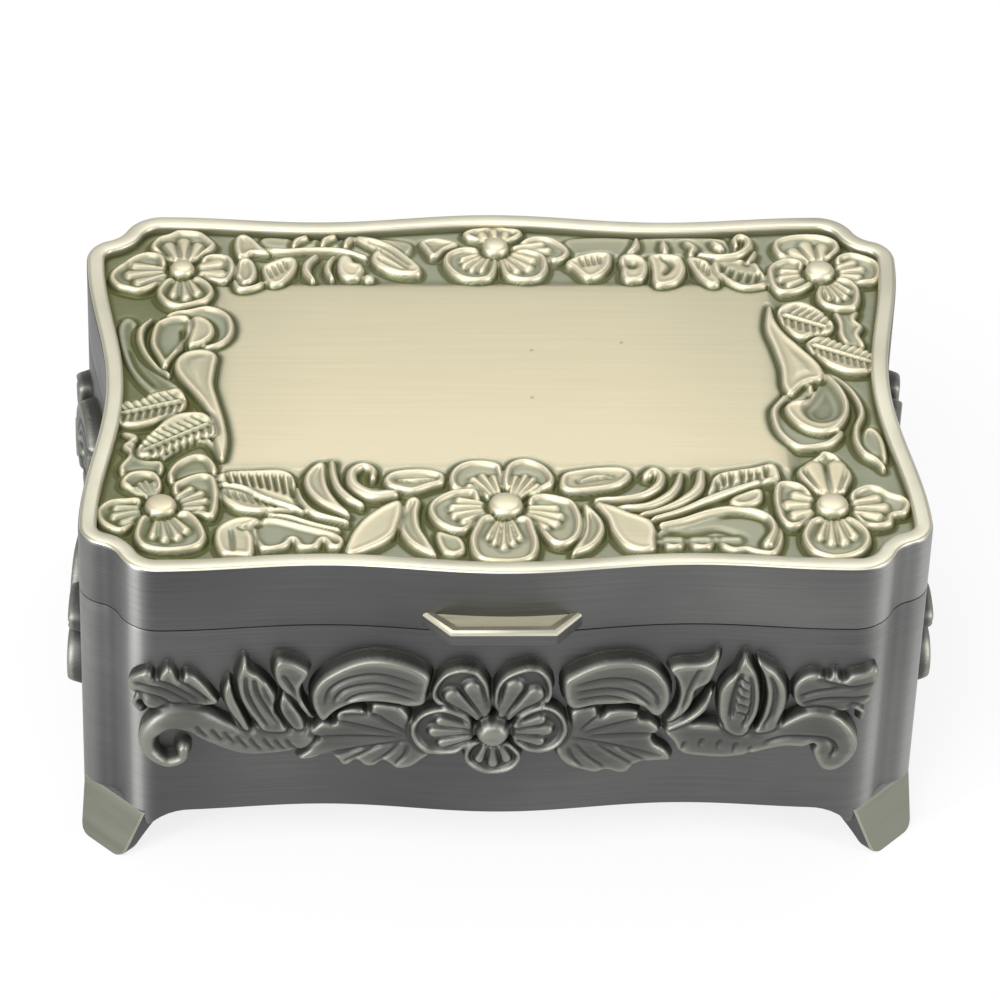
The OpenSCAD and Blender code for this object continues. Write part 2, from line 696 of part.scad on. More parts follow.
back_right_leaves = [
    [[[8.5, 26.5], [11.5, 25], [13.4, 22.4]], 3.2],
    [[[17.6, 27], [17.4, 24], [17.6, 21.8]], 3.4],
    [[[22, 27], [21.6, 24], [22.2, 21.4]], 3.8],
    [[[25.6, 26.8], [25.6, 24], [27.2, 21]], 1.8],
    [[[28, 26], [31, 22], [37, 20.8]], 3.6],
    [[[9, 28.6], [18, 30.6], [26, 27.6]], 2.2],
    [[[25, 28.6], [29, 31.6], [32.8, 30.8]], 2.2],
    [[[33, 31.2], [35, 28], [31.6, 27]], 2.2],
    [[[12.6, 26.8], [18, 29], [24.6, 28.6]], 2]];
left_leaves = [
    [[[-35.2, 8.6], [-32.2, 15.5], [-37.6, 16]], 3.2],
    [[[-36.8, 16], [-42.6, 15.6], [-42.6, 9.6]], 3],
    [[[-42.8, 10.6], [-42.2, 6.2], [-38.6, 5.4]], 2.6],
    [[[-37.6, 7.8], [-37, 2], [-34.6, -4]], 4.4],
    [[[-36, -2], [-33.4, -8], [-34.2, -13]], 1.8],
    [[[-38.6, 12.8], [-36.2, 11], [-36.6, 7.6]], 2.6],
    [[[-45.2, 14], [-45.6, 8.5], [-40, 4]], 2],
    [[[-37.4, -1.6], [-42, -2], [-47, -4.8]], 4.4],
    [[[-35.4, -6.4], [-39.5, -8], [-43.8, -12]], 4.6],
    [[[-39.4, -16.5], [-38.5, -13.6], [-34.4, -13.2]], 2],
    [[[-45.8, -8], [-46.2, -13], [-44.2, -17.6]], 2.6]];
right_back_shift = 3;

// Petal directions of the lid's flowers
four_petals = [0, 90, 180, 270];
turned_petals = [20, 110, 180, 275];
centre_petals = [57, 121, 188, 277, 338];
back_petals = [5, 90, 170, 232, 312];

// Each corner flower is a place with a twin half a turn round
corner_flower_y = box_d / 2 - flower_end_in;
near_flower = [-(box_w / 2 - flower_in), -corner_flower_y];
far_flower = [box_w / 2 - flower_far_in, -corner_flower_y];
centre_flower = [centre_flower_x, -corner_flower_y];
back_flower = [-centre_flower_x, box_d / 2 - back_flower_in];

module lid_leaves(leaves, shift) {
    translate(shift) for (l = leaves) leaf(l[0], l[1]);
}

module lid_pattern() {
    lid_leaves(front_left_leaves, [-grow_x / 2, -grow_y]);
    lid_leaves(front_right_leaves, [grow_x / 2, -grow_y]);
    lid_leaves(back_left_leaves, [-grow_x / 2, grow_y]);
    lid_leaves(back_right_leaves, [grow_x / 2, grow_y]);
    lid_leaves(left_leaves, [-grow_x, 0]);
    translate([0, right_back_shift]) rotate(180) lid_leaves(left_leaves, [-grow_x, 0]);
    for (turn = [0, 180]) rotate(turn) {
        translate(near_flower) flower(turned_petals, corner_petal_reach, corner_petal_w);
        translate(far_flower) flower(four_petals, corner_petal_reach, corner_petal_w);
    }
    translate(centre_flower) flower(centre_petals, centre_petal_reach, centre_petal_w);
    translate(back_flower) flower(back_petals, back_petal_reach, back_petal_w);
}

module lid_step(bottom, top, shrink, panel_out) {
    translate([0, 0, ground_z + bottom]) linear_extrude(top - bottom) offset(delta = -shrink) difference() {
        intersection() {
            lid_pattern();
            polygon(outline(rim_w));
        }
        if (panel_out) translate([0, panel_back]) square([panel_w, panel_d], center = true);
    }
}

module lid_bosses() {
    for (turn = [0, 180]) rotate(turn) for (p = [near_flower, far_flower])
        translate(p) boss(corner_petal_reach, ground_z + panel_rise, ground_z + lid_boss_rise);
    translate(centre_flower) boss(centre_petal_reach, ground_z + panel_rise, ground_z + lid_boss_rise);
    translate(back_flower) boss(back_petal_reach, ground_z + panel_rise, ground_z + lid_boss_rise);
}

module lid_relief() {
    color(cream) {
        lid_step(0, panel_rise, fit_gap, true);
        lid_step(panel_rise, lid_leaf_rise, fit_gap, false);
        lid_step(lid_leaf_rise, lid_petal_rise, edge_slope, false);
        lid_bosses();
    }
}

body_shell();
base_plate();
foot_front_left();
foot_front_right();
foot_back_left();
foot_back_right();
front_relief();
back_relief();
left_relief();
right_relief();
lid_shell();
lid_relief();
front_tab();
hinge_body_leaf();
hinge_lid_leaf();
hinge_pin();
body_rivets();
lid_rivets();
floor_card();
floor_pad();
lining_front();
lining_back();
lining_left();
lining_right();
lid_card();
lid_pad();
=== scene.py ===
import math
import bpy
import numpy as np
from mathutils import Matrix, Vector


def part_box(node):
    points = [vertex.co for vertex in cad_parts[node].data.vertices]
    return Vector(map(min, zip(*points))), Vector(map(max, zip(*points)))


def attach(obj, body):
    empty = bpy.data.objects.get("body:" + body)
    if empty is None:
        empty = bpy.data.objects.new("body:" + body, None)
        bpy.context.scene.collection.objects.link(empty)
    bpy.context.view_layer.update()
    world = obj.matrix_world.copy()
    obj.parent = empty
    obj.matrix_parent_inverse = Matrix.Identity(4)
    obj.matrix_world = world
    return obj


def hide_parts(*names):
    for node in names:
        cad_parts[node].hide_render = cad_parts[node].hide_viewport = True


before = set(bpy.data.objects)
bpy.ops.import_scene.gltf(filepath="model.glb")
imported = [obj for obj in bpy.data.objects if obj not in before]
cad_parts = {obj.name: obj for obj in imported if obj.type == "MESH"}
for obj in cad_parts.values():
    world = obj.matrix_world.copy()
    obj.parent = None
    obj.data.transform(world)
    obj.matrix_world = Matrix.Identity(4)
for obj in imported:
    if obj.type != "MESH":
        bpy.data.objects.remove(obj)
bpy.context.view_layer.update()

# Everything below is in millimetres in the part's own frame, and becomes metres as a mesh is made.
MM = 0.001

# Sizes of the box, the same as in the CAD source
BOX_W, BOX_D, BOX_H = 102.0, 69.0, 46.5
SIDE_HOLLOW, FRONT_WAVE, FRONT_SWELL = 2.8, 1.3, 0.5
CORNER_X, CORNER_Y = 9.5, 8.6
SIDE_BULGE_R, NOTCH_R, FRONT_BULGE_R = 3.8, 3.7, 5.1
WALL, RIM_W, GROUND_Z, LID_UNDER = 1.8, 2.2, 45.3, 43.7
BODY_TOP, LID_BOTTOM, PARTING_Z = 36.95, 37.05, 37.0
APRON_H, APRON_R, APRON_X, APRON_Y, SKIRT_H = 7.7, 6.0, 38.0, 21.0, 5.2
PANEL_W, PANEL_D, PANEL_BACK, PANEL_RISE = 70.0, 37.0, 2.8, 0.6
FLOWER_Z, BACK_DROP = 22.8, 1.4
FLOOR_Z, FLOOR_PAD_Z = 11.0, 13.4
LID_CARD_Z, LID_PAD_Z = 42.7, 40.7
FOOT_H, FOOT_TOP_W, FOOT_TOE_W, FOOT_FLARE = 7.2, 10.2, 6.0, 2.9
FOOT_ROOT, FOOT_INSET = 6.0, 0.7
SEAT_HALF, SEAT_REACH = 15.6, 5.0

# What only the visible feet have: a face further out and wider, and a thin toe with round corners
FACE_OUT, TOE_WIDER, TOP_WIDER, TOE_THICK, TOE_ROUND = 0.55, 0.65, 0.2, 1.7, 1.2

# Small dark specks on the lid's panel
PANEL_SPECKS = (15.5, 9.3), (4.3, 7.8), (4, -1.5)

# Distance between the samples of the reliefs
RELIEF_STEP = 0.16

SIDE_END = BOX_D / 2 - CORNER_Y
FRONT_END = BOX_W / 2 - CORNER_X


# Outline of the box
def side_x(y):
    return BOX_W / 2 - SIDE_HOLLOW * (1 + np.cos(np.pi * y / SIDE_END)) / 2


def front_y(x):
    u = x / FRONT_END
    swell = FRONT_SWELL * (1 + np.cos(np.pi * u)) / 2
    return BOX_D / 2 + swell - FRONT_WAVE * (1 - np.cos(2 * np.pi * u)) / 2


def corner():
    """Centres of the side bulge, the notch and the front bulge, and the angles where they meet."""
    side = np.array([BOX_W / 2 - SIDE_BULGE_R, SIDE_END])
    front = np.array([FRONT_END, BOX_D / 2 - FRONT_BULGE_R])
    gap = np.linalg.norm(front - side)
    along = (front - side) / gap
    outward = np.array([along[1], -along[0]])
    a, b = SIDE_BULGE_R + NOTCH_R, FRONT_BULGE_R + NOTCH_R
    s = (a * a - b * b + gap * gap) / (2 * gap)
    notch = side + along * s + outward * math.sqrt(a * a - s * s)
    turn_a = math.atan2(*(notch - side)[::-1])
    turn_b = math.atan2(*(notch - front)[::-1])
    return side, notch, front, turn_a, turn_b


SIDE_BULGE, NOTCH, FRONT_BULGE, TURN_SIDE, TURN_FRONT = corner()


def arc(centre, radius, start, end, steps):
    a = np.linspace(start, end, steps, endpoint=False)
    return np.stack([centre[0] + radius * np.cos(a), centre[1] + radius * np.sin(a)], 1)


def quarter():
    """The outline from the middle of the right side to the middle of the back."""
    y = np.linspace(0, SIDE_END, 26, endpoint=False)
    x = np.linspace(FRONT_END, 0, 45)
    return np.vstack([
        np.stack([side_x(y), y], 1),
        arc(SIDE_BULGE, SIDE_BULGE_R, 0, TURN_SIDE, 12),
        arc(NOTCH, NOTCH_R, TURN_SIDE + math.pi, TURN_FRONT + math.pi, 12),
        arc(FRONT_BULGE, FRONT_BULGE_R, TURN_FRONT, math.pi / 2, 14),
        np.stack([x, front_y(x)], 1)])


def whole_outline():
    q = quarter()
    half = np.vstack([q, (q * [-1, 1])[-2::-1]])
    return np.vstack([half, -half[1:-1]])


OUTLINE = whole_outline()


def normals_of(line):
    d = np.roll(line, -1, 0) - np.roll(line, 1, 0)
    n = np.stack([d[:, 1], -d[:, 0]], 1)
    return n / np.linalg.norm(n, axis=1, keepdims=True)


OUTLINE_N = normals_of(OUTLINE)


def outline(inset):
    return OUTLINE - inset * OUTLINE_N


def inner_gap(x, y, inset):
    """Distance, measured towards the middle, from a point to the outline drawn in by inset."""
    edge = outline(inset)
    angle = np.arctan2(edge[:, 1], edge[:, 0])
    order = np.argsort(angle)
    reach = np.interp(np.arctan2(y, x), angle[order], np.hypot(*edge.T)[order], period=2 * np.pi)
    return reach - np.hypot(x, y)


# Mesh helpers
def add_object(name, verts, faces, body=None, wear_and_painted_light=None):
    """A smooth object from points in millimetres, that rides on body and carries at each point its patina and
    worn brightness, together with painted light and shade.
    """
    mesh = bpy.data.meshes.new(name)
    mesh.from_pydata((np.asarray(verts) * MM).tolist(), [], faces)
    mesh.validate()
    mesh.update()
    mesh.polygons.foreach_set("use_smooth", [True] * len(mesh.polygons))
    if wear_and_painted_light is not None:
        mesh.attributes.new("wear_and_painted_light", "FLOAT", "POINT").data.foreach_set("value", np.asarray(wear_and_painted_light, np.float32))
    obj = bpy.data.objects.new(name, mesh)
    bpy.context.scene.collection.objects.link(obj)
    if body:
        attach(obj, body)
    return obj


def grid_faces(rows, cols, closed=False):
    """Quads over a grid of rows by cols points; closed joins the last column to the first."""
    r = np.arange(rows - 1)[:, None]
    c = np.arange(cols if closed else cols - 1)[None, :]
    n = (c + 1) % cols
    a, b = r * cols + c, r * cols + n
    return np.stack([a, b, b + cols, a + cols], -1).reshape(-1, 4)


def level(inset, z):
    """The outline drawn in by inset, at the height z or at a height for each of its points."""
    return np.column_stack([outline(inset), np.broadcast_to(z, len(OUTLINE))])


def capped(rings, first, last):
    """Vertices and faces of a closed solid through rings of points, closed to a point at each end."""
    count = len(rings[0])
    verts = np.vstack(rings + [[first], [last]])
    faces = grid_faces(len(rings), count, closed=True).tolist()
    top, centre = (len(rings) - 1) * count, len(rings) * count
    for i in range(count):
        j = (i + 1) % count
        faces.append([j, i, centre])
        faces.append([top + i, top + j, centre + 1])
    return verts, faces


def sharpen(obj, degrees):
    """Shades smooth, with edges over the given angle kept sharp."""
    with bpy.context.temp_override(object=obj, active_object=obj, selected_objects=[obj],
                                   selected_editable_objects=[obj]):
        bpy.ops.object.shade_smooth_by_angle(angle=math.radians(degrees))


# Relief: a height field over a flat pattern
def spline(points, count):
    """A smooth curve through the points, as count samples."""
    p = np.asarray(points, float)
    if len(p) == 2:
        t = np.linspace(0, 1, count)[:, None]
        return p[0] * (1 - t) + p[1] * t
    ext = np.vstack([2 * p[0] - p[1], p, 2 * p[-1] - p[-2]])
    out = []
    for k, t in enumerate(np.array_split(np.linspace(0, len(p) - 1, count), len(p) - 1)):
        u = (t - k)[:, None]
        a, b, c, d = ext[k:k + 4]
        out.append(0.5 * (2 * b + (c - a) * u + (2 * a - 5 * b + 4 * c - d) * u ** 2
                          + (3 * b - a - 3 * c + d) * u ** 3))
    return np.vstack(out)


def closed_spline(points, per):
    """A smooth closed curve through the points, with per samples for each."""
    p = np.asarray(points, float)
    t = np.linspace(0, 1, per, endpoint=False)[:, None]
    out = []
    for k in range(len(p)):
        a, b, c, d = p[k - 1], p[k], p[(k + 1) % len(p)], p[(k + 2) % len(p)]
        out.append(0.5 * (2 * b + (c - a) * t + (2 * a - 5 * b + 4 * c - d) * t ** 2
                          + (3 * b - a - 3 * c + d) * t ** 3))
    return np.vstack(out)


def smoothstep(lo, hi, v):
    t = np.clip((v - lo) / (hi - lo), 0, 1)
    return t * t * (3 - 2 * t)


def blurred(field, sigma):
    """Gaussian blur with sigma in samples."""
    r = int(3 * sigma) + 1
    k = np.exp(-0.5 * (np.arange(-r, r + 1) / sigma) ** 2)
    k /= k.sum()
    padded = np.pad(field, r, mode="edge")
    rows = np.apply_along_axis(lambda v: np.convolve(v, k, "valid"), 0, padded)
    return np.apply_along_axis(lambda v: np.convolve(v, k, "valid"), 1, rows)


# Profiles across a stroke: q is 0 on its line and 1 at its edge
def crowned(q):
    return np.sqrt(np.clip(1 - 0.75 * q * q, 0, 1))


def barred(q):
    return 1 - 0.22 * q ** 4


class Relief:
    """Heights in millimetres over a grid. Each element is laid over those before it, in a crevice.

    flank is the width of an element's side, grow is how far it reaches past its points, and rise is
    a factor on the heights.
    """

    def __init__(self, x0, x1, y0, y1, ground=0.0, flank=0.42, grow=0.12, rise=1.0):
        self.flank, self.grow, self.rise = flank, grow, rise
        self.xs = np.arange(x0, x1 + RELIEF_STEP / 2, RELIEF_STEP)
        self.ys = np.arange(y0, y1 + RELIEF_STEP / 2, RELIEF_STEP)
        self.x, self.y = np.meshgrid(self.xs, self.ys)
        self.h = np.full(self.x.shape, ground)
        self.floor = ground

    def window(self, lo, hi):
        c = np.searchsorted(self.xs, [lo[0], hi[0]])
        r = np.searchsorted(self.ys, [lo[1], hi[1]])
        return slice(r[0], max(r[1], r[0] + 1)), slice(c[0], max(c[1], c[0] + 1))

    def lay(self, win, edge, height, crevice, slope):
        """edge is the distance outside the element, negative inside it; slope is the width of its flank."""
        h = self.h[win]
        height = height * self.rise
        near = np.exp(-(np.maximum(edge, 0) / 0.36) ** 2)
        cut = np.maximum(self.floor - 0.18, h - crevice * near)
        up = np.clip(-edge / slope, 0, 1)
        share = np.sqrt(1 - (1 - up) ** 2)
        beside = np.where(edge < 1.2, np.minimum(h, cut), h)
        h[:] = np.where(edge < 0, cut * (1 - share) + height * share, beside)

    def stroke(self, line, widths, rise, crevice=0.45, flank=None, profile=crowned):
        """An element along a smooth curve, with its widths spread evenly along it."""
        pts = spline(line, 90)
        half_all = np.interp(np.linspace(0, 1, len(pts)), np.linspace(0, 1, len(widths)), widths) / 2
        pad = half_all.max() + 1.6
        win = self.window(pts.min(0) - pad, pts.max(0) + pad)
        reach = np.hypot(self.x[win][..., None] - pts[:, 0], self.y[win][..., None] - pts[:, 1])
        near = (reach - half_all * 0.6).argmin(-1)
        d = np.take_along_axis(reach, near[..., None], -1)[..., 0]
        half = half_all[near]
        height = rise * profile(d / np.maximum(half, 0.05))
        self.lay(win, d - half - self.grow / 2, height, crevice, np.minimum(flank or self.flank, 0.75 * half))

    def plate(self, points, rise, hollow=0.3, mound=0.0, crevice=0.5):
        """A leaf with its outline through the points: a raised lip round a hollow that may have a mound."""
        pts = closed_spline(points, 9)
        win = self.window(pts.min(0) - 1.6, pts.max(0) + 1.6)
        x, y = self.x[win], self.y[win]
        d = np.full(x.shape, 99.0)
        inside = np.zeros(x.shape, bool)
        for (ax, ay), (bx, by) in zip(pts, np.roll(pts, -1, 0)):
            ex, ey = bx - ax, by - ay
            t = np.clip(((x - ax) * ex + (y - ay) * ey) / (ex * ex + ey * ey + 1e-9), 0, 1)
            d = np.minimum(d, np.hypot(x - ax - t * ex, y - ay - t * ey))
            if ay != by:
                inside ^= ((ay > y) != (by > y)) & (x < ax + (y - ay) * ex / (by - ay))
        height = rise * (1 - hollow * smoothstep(0.42, 0.95, d) + mound * smoothstep(1.2, 2.1, d))
        self.lay(win, np.where(inside, -d, d) - self.grow, height, crevice, self.flank)

    def groove(self, line, width, depth):
        """A cut along a curve that tapers out at both ends."""
        pts = spline(line, 40)
        win = self.window(pts.min(0) - 2 * width, pts.max(0) + 2 * width)
        x, y = self.x[win], self.y[win]
        reach = np.hypot(x[..., None] - pts[:, 0], y[..., None] - pts[:, 1])
        near = reach.argmin(-1)
        t = near / (len(pts) - 1)
        half = width / 2 * (0.55 + 0.45 * np.sin(np.pi * np.clip(t, 0.05, 0.95)))
        self.h[win] -= depth * np.exp(-(reach.min(-1) / half) ** 2) * smoothstep(0, 0.12, t + 0.04) \
            * smoothstep(1, 0.88, t - 0.04)

    def petal(self, points, centre, fingers, rise, boss_r=2.2, share=0.62):
        """A petal with its outline through the points, and raised fingers that fan out from the centre."""
        self.plate(points, rise, 0.5)
        pts = np.asarray(points) - centre
        axis = math.atan2(*pts.mean(0)[::-1])
        turn = np.array([[math.cos(axis), -math.sin(axis)], [math.sin(axis), math.cos(axis)]])
        u, v = (pts @ turn).T
        far = u.max()
        spread = np.ptp(np.arctan2(v, u)[u > 0.45 * far])
        pitch = min(0.74 * spread / fingers, math.radians(26))
        for k in range(fingers):
            off = k - (fingers - 1) / 2
            out = boss_r + (far - boss_r) * share * (1 - 0.14 * abs(off))
            a = axis + pitch * off
            line = [(centre[0] + q * math.cos(a), centre[1] + q * math.sin(a))
                    for q in (boss_r - 0.5, (boss_r + out) / 2, out)]
            self.stroke(line, [0.92 * pitch * boss_r, 0.9 * pitch * (boss_r + out) / 2, 0.84 * pitch * out],
                        0.86 * rise, 0.16, 0.14, barred)

    def boss(self, centre, radius, rise, crevice=0.7):
        win = self.window(np.subtract(centre, radius + 2), np.add(centre, radius + 2))
        d = np.hypot(self.x[win] - centre[0], self.y[win] - centre[1])
        q = np.clip(d / radius, 0, 1)
        self.lay(win, d - radius, rise * (0.55 + 0.45 * np.sqrt(1 - q ** 2.4)), crevice, self.flank)

    def finish(self, soft):
        """Rounds all edges a little, and keeps the cuts off what lies below."""
        self.h = np.maximum(blurred(self.h, soft / RELIEF_STEP), self.floor - 0.22)

    def wear_and_painted_light(self, body_rise, steep, wide_share=0.7, fine=0.3, wide=1.2):
        """0 in the dark crevices, about 0.3 on the open ground, 1 on the worn high edges."""
        near = self.h - blurred(self.h, fine / RELIEF_STEP)
        far = self.h - blurred(self.h, wide / RELIEF_STEP)
        base = 0.3 + 0.4 * smoothstep(0.15, 0.85, (self.h - self.floor) / body_rise)
        slope = np.hypot(*np.gradient(self.h, RELIEF_STEP))
        w = base + 2.0 * near / body_rise + wide_share * far / body_rise - steep * smoothstep(0.9, 2.4, slope)
        return np.clip(blurred(w, 0.1 / RELIEF_STEP), 0, 1)


# Lid relief
def lid_field():
    """The lid's ground, the panel and the ornament round it; plain keeps the panel without ornament."""
    r = Relief(-50.4, 50.4, -34.4, 34.4, rise=0.86, grow=0.24)
    panel = np.maximum(np.abs(r.x) - PANEL_W / 2, np.abs(r.y - PANEL_BACK) - PANEL_D / 2)
    r.h[:] = PANEL_RISE * smoothstep(0.9, -0.7, panel)
    r.plain = r.h.copy()
    draw_front_left(r)
    draw_front_right(r)
    draw_left(r)
    draw_right(r)
    draw_back(r)
    draw_corner_flowers(r)
    draw_middle_flowers(r)
    r.finish(0.12)
    return r


def draw_front_left(r):
    # arch and grey hollow behind the corner flower
    r.stroke([(-41, -12.8), (-38.6, -10.2), (-36.4, -9.2), (-35, -10.4), (-34.3, -13)], [0.5, 1, 1.1, 1, 0.7],
             1.1)
    r.plate([(-40.3, -17), (-39.8, -14.6), (-38, -12.9), (-36.3, -12.6), (-35, -14), (-34.4, -17),
             (-34.4, -20), (-38, -20)], 1.15, 0.62)
    # scalloped leaf on the left edge
    r.plate([(-46, -8.2), (-45.1, -9.4), (-45.9, -10.7), (-45.1, -12.2), (-46.2, -14.6), (-45.6, -16.2),
             (-43, -16.6), (-41.2, -15.8), (-41.2, -13.8), (-43.4, -13.2), (-44.3, -11.4), (-44.2, -8.8)],
            0.85, 0.4)
    # fern
    r.plate([(-35, -17.2), (-33.4, -15.9), (-30, -15.6), (-27, -15.5), (-25.6, -16.4), (-25, -18.6),
             (-23.9, -21.4), (-23.6, -22.8), (-26.4, -22.9), (-29.4, -23.2), (-31.8, -22.6), (-33.6, -21.1),
             (-34.9, -19.3)], 1.1, 0.16)
    r.stroke([(-34.2, -17.9), (-31.4, -18.7), (-28.9, -20.6), (-24.2, -23)], [0.5, 0.6, 0.65, 0.7], 1.35, 0.3)
    for k in range(9):
        x = -33.1 + 0.93 * k
        y = -18.2 - 0.036 * k * k
        r.groove([(x - 0.25, -16 - 0.07 * k), (x + 0.2, y)], 0.42, 0.7)
    for k in range(7):
        x = -33.6 + 0.9 * k
        r.groove([(x, -19 - 0.36 * k), (x + 0.75, -20.8 - 0.3 * k)], 0.36, 0.45)
    # stems under the fern
    r.stroke([(-28.4, -23.5), (-26, -24), (-23.4, -25.2), (-20, -26.4)], [0.4, 0.7, 0.8, 0.5], 1.1)
    # scalloped shell leaf
    r.plate([(-30.3, -24.9), (-27.6, -24.4), (-24, -25.7), (-20.6, -27.1), (-19.4, -28.6), (-20, -29.7),
             (-21.2, -29.4), (-21.9, -28.3), (-22.7, -29.5), (-23.9, -29.8), (-24.9, -29.4), (-25.5, -28.2),
             (-26.2, -29.2), (-27.2, -29.8), (-28.6, -30), (-29.6, -29.4), (-30.4, -27.4)], 1.0, 0.62)
    r.plate([(-33.2, -24.9), (-34.5, -26.4), (-34.6, -28.8), (-33.8, -30.7), (-32, -31), (-30.4, -30.9),
             (-30.3, -28), (-30.8, -26.2), (-29.6, -24.7), (-31.4, -24.2)], 1.05, 0.16)
    r.groove([(-32, -26), (-31.2, -26.4), (-30.9, -25.6)], 0.5, 0.5)
    r.groove([(-32.9, -26.4), (-32.7, -28.4), (-32.6, -30.6)], 0.5, 0.35)
    # strokes that sweep up to the panel
    r.stroke([(-24.9, -18.8), (-24.3, -21.4), (-22.6, -23.6), (-18.9, -25)], [0.4, 0.9, 0.95, 0.4], 1.25)
    r.plate([(-22.6, -14.5), (-23.8, -16.4), (-23.9, -18.4), (-23.1, -20.3), (-21.6, -21.9), (-18.8, -23.7),
             (-20.1, -21.6), (-21, -19.6), (-21.4, -17.6), (-21.4, -15.4), (-21.6, -14.2)], 1.2, 0.28)
    r.stroke([(-20.7, -14.2), (-20.5, -16.6), (-19.9, -18.9), (-18.7, -20.7), (-17.2, -22)],
             [0.9, 1.2, 1.3, 1.3, 0.7], 1.3)
    # curl
    r.stroke([(-13.4, -19.8), (-16, -20), (-18.1, -18.2), (-18.3, -15.9), (-17, -14.7), (-15.8, -15.5),
              (-15.8, -16.9)], [1.5, 1.9, 1.7, 1.4, 1.2, 1.1, 0.8], 1.35)
    # oval leaf
    r.plate([(-14.4, -17.2), (-13.4, -16), (-11.2, -15.5), (-9, -15.6), (-7.3, -16.4), (-7.4, -17.8),
             (-9, -18.6), (-11, -19.5), (-12.8, -19.1), (-14, -18.4)], 1.2, 0.3)
    r.stroke([(-12.8, -17.2), (-10.6, -17.3), (-8.4, -17)], [0.3, 0.7, 0.3], 1.1, 0.12)
    # hanging leaves
    r.plate([(-8.3, -26.8), (-5.9, -27.6), (-5, -29.8), (-6.4, -30.9), (-8, -29.8)], 0.8, 0.3)
    r.plate([(-11.4, -20.8), (-12.8, -23.2), (-12.9, -26), (-12, -28.4), (-10.6, -30), (-8.7, -31.1),
             (-9.5, -28.6), (-10.4, -26.2), (-10.6, -23.6), (-10.3, -21.2)], 1.15, 0.35)
    r.plate([(-12.8, -21.4), (-14.8, -22.5), (-17, -24.8), (-18.4, -27.4), (-19.2, -30.4), (-18.4, -31),
             (-16.8, -30.2), (-14.8, -28.8), (-13.5, -27.2), (-13, -25.2), (-12.6, -23)], 1.25, 0.1)


def draw_front_right(r):
    # acanthus: a band round a hollow with pillows along its front edge
    r.plate([(18.2, -26.4), (21, -25.4), (24.4, -23.9), (27, -22.7), (29.4, -22.7), (31.8, -23.9),
             (32.8, -26.4), (32.6, -29), (31.6, -30.9), (29.6, -30.7), (28.4, -30.2), (26.9, -30.4),
             (25.6, -29.6), (24.9, -28.2), (23.9, -29.7), (22.3, -29.6), (21.3, -28.3), (20.5, -29.6),
             (19.1, -29.6), (18.3, -28.5), (17.4, -29)], 0.95, 0.55)
    for x in (19.7, 23, 26.6):
        r.stroke([(x - 0.8, -28), (x + 0.9, -28)], [1.3, 1.3], 0.6, 0.25)
    r.groove([(19, -26.6), (22, -26.9), (25, -26.3), (27.6, -27.1)], 0.8, 0.5)
    r.stroke([(18.4, -25.8), (21, -25), (24, -23.6), (26.6, -22.9), (29.2, -23.1), (31.4, -24.4),
              (31.9, -26.6), (31, -29)], [0.8, 1, 1.2, 1.4, 1.4, 1.1, 1, 1.5], 1.3, 0.3)
    # fern over its stem, and the leaf under it
    r.plate([(24.4, -20.8), (24.9, -18), (25.9, -16.4), (28.4, -15.6), (30, -15.3), (31.4, -14.8),
             (32.6, -14.5), (33.2, -16), (33, -17.7), (31.4, -17.8), (29, -18.9), (26.6, -20.2)], 1.15, 0.14)
    for x, y0, y1 in ((26.5, -16.5, -18.6), (27.4, -16.2, -18.4), (28.8, -15.8, -17.9), (29.8, -15.8, -17.6),
                      (30.7, -15.8, -17.2), (31.7, -15, -17.2), (25.7, -17.6, -19.4)):
        r.groove([(x, y0), (x - 0.1, y1)], 0.46, 0.6)
    r.plate([(27, -21.4), (27.9, -20.1), (30, -19.1), (30.9, -19.4), (30.7, -21), (29.4, -22), (28, -22.1)],
            1.0, 0.25)
    r.stroke([(17.2, -24.8), (21, -22.9), (24, -21.2), (27, -19.6), (30.6, -17.8)], [0.6, 1.1, 1.1, 1.1, 0.7],
             1.3)
    # sweeping strokes
    r.stroke([(15.6, -24), (19.4, -22.4), (22, -20.6), (23.4, -18.6), (23.8, -16)], [0.6, 1.3, 1.6, 1.6, 1.1],
             1.3)
    r.stroke([(10.6, -22.2), (14, -22.5), (17, -22.2), (19.5, -20.5), (20.7, -18.6), (21.3, -16.4)],
             [0.4, 1, 1.3, 1.6, 1.3, 0.8], 1.3)
    # curl
    r.stroke([(10.8, -20.9), (13.6, -21), (16.4, -20.3), (18.4, -18.6), (18.9, -16.7), (18.1, -15.6),
              (17.3, -16.4)], [0.4, 0.9, 1.2, 1.4, 1.3, 1.2, 1.4], 1.35)
    # oval leaf
    r.plate([(6.7, -17.8), (7.3, -16.3), (9.4, -15.6), (12, -15.2), (14.3, -15.3), (15.3, -16.4),
             (14.4, -17.9), (12.8, -18.9), (10, -19.5), (8, -19.6), (6.9, -18.9)], 1.2, 0.3)
    r.stroke([(9, -17.6), (11, -16.8), (13, -16.7)], [0.3, 0.7, 0.3], 1.1, 0.12)
    # leaves below
    r.plate([(9.4, -22), (10.8, -23.6), (11.6, -25.8), (11.1, -28), (9.7, -29.9), (7.7, -30.9), (8.4, -29),
             (9, -27), (9.2, -24.6)], 1.15, 0.4)
    r.plate([(10.8, -21.8), (12, -24.4), (12.6, -27), (13.8, -29.4), (15.6, -30.5), (17.3, -30.2),
             (17.4, -28.4), (17.6, -26.6), (17, -25), (14.6, -23.6), (12.6, -22.4)], 1.25, 0.08)


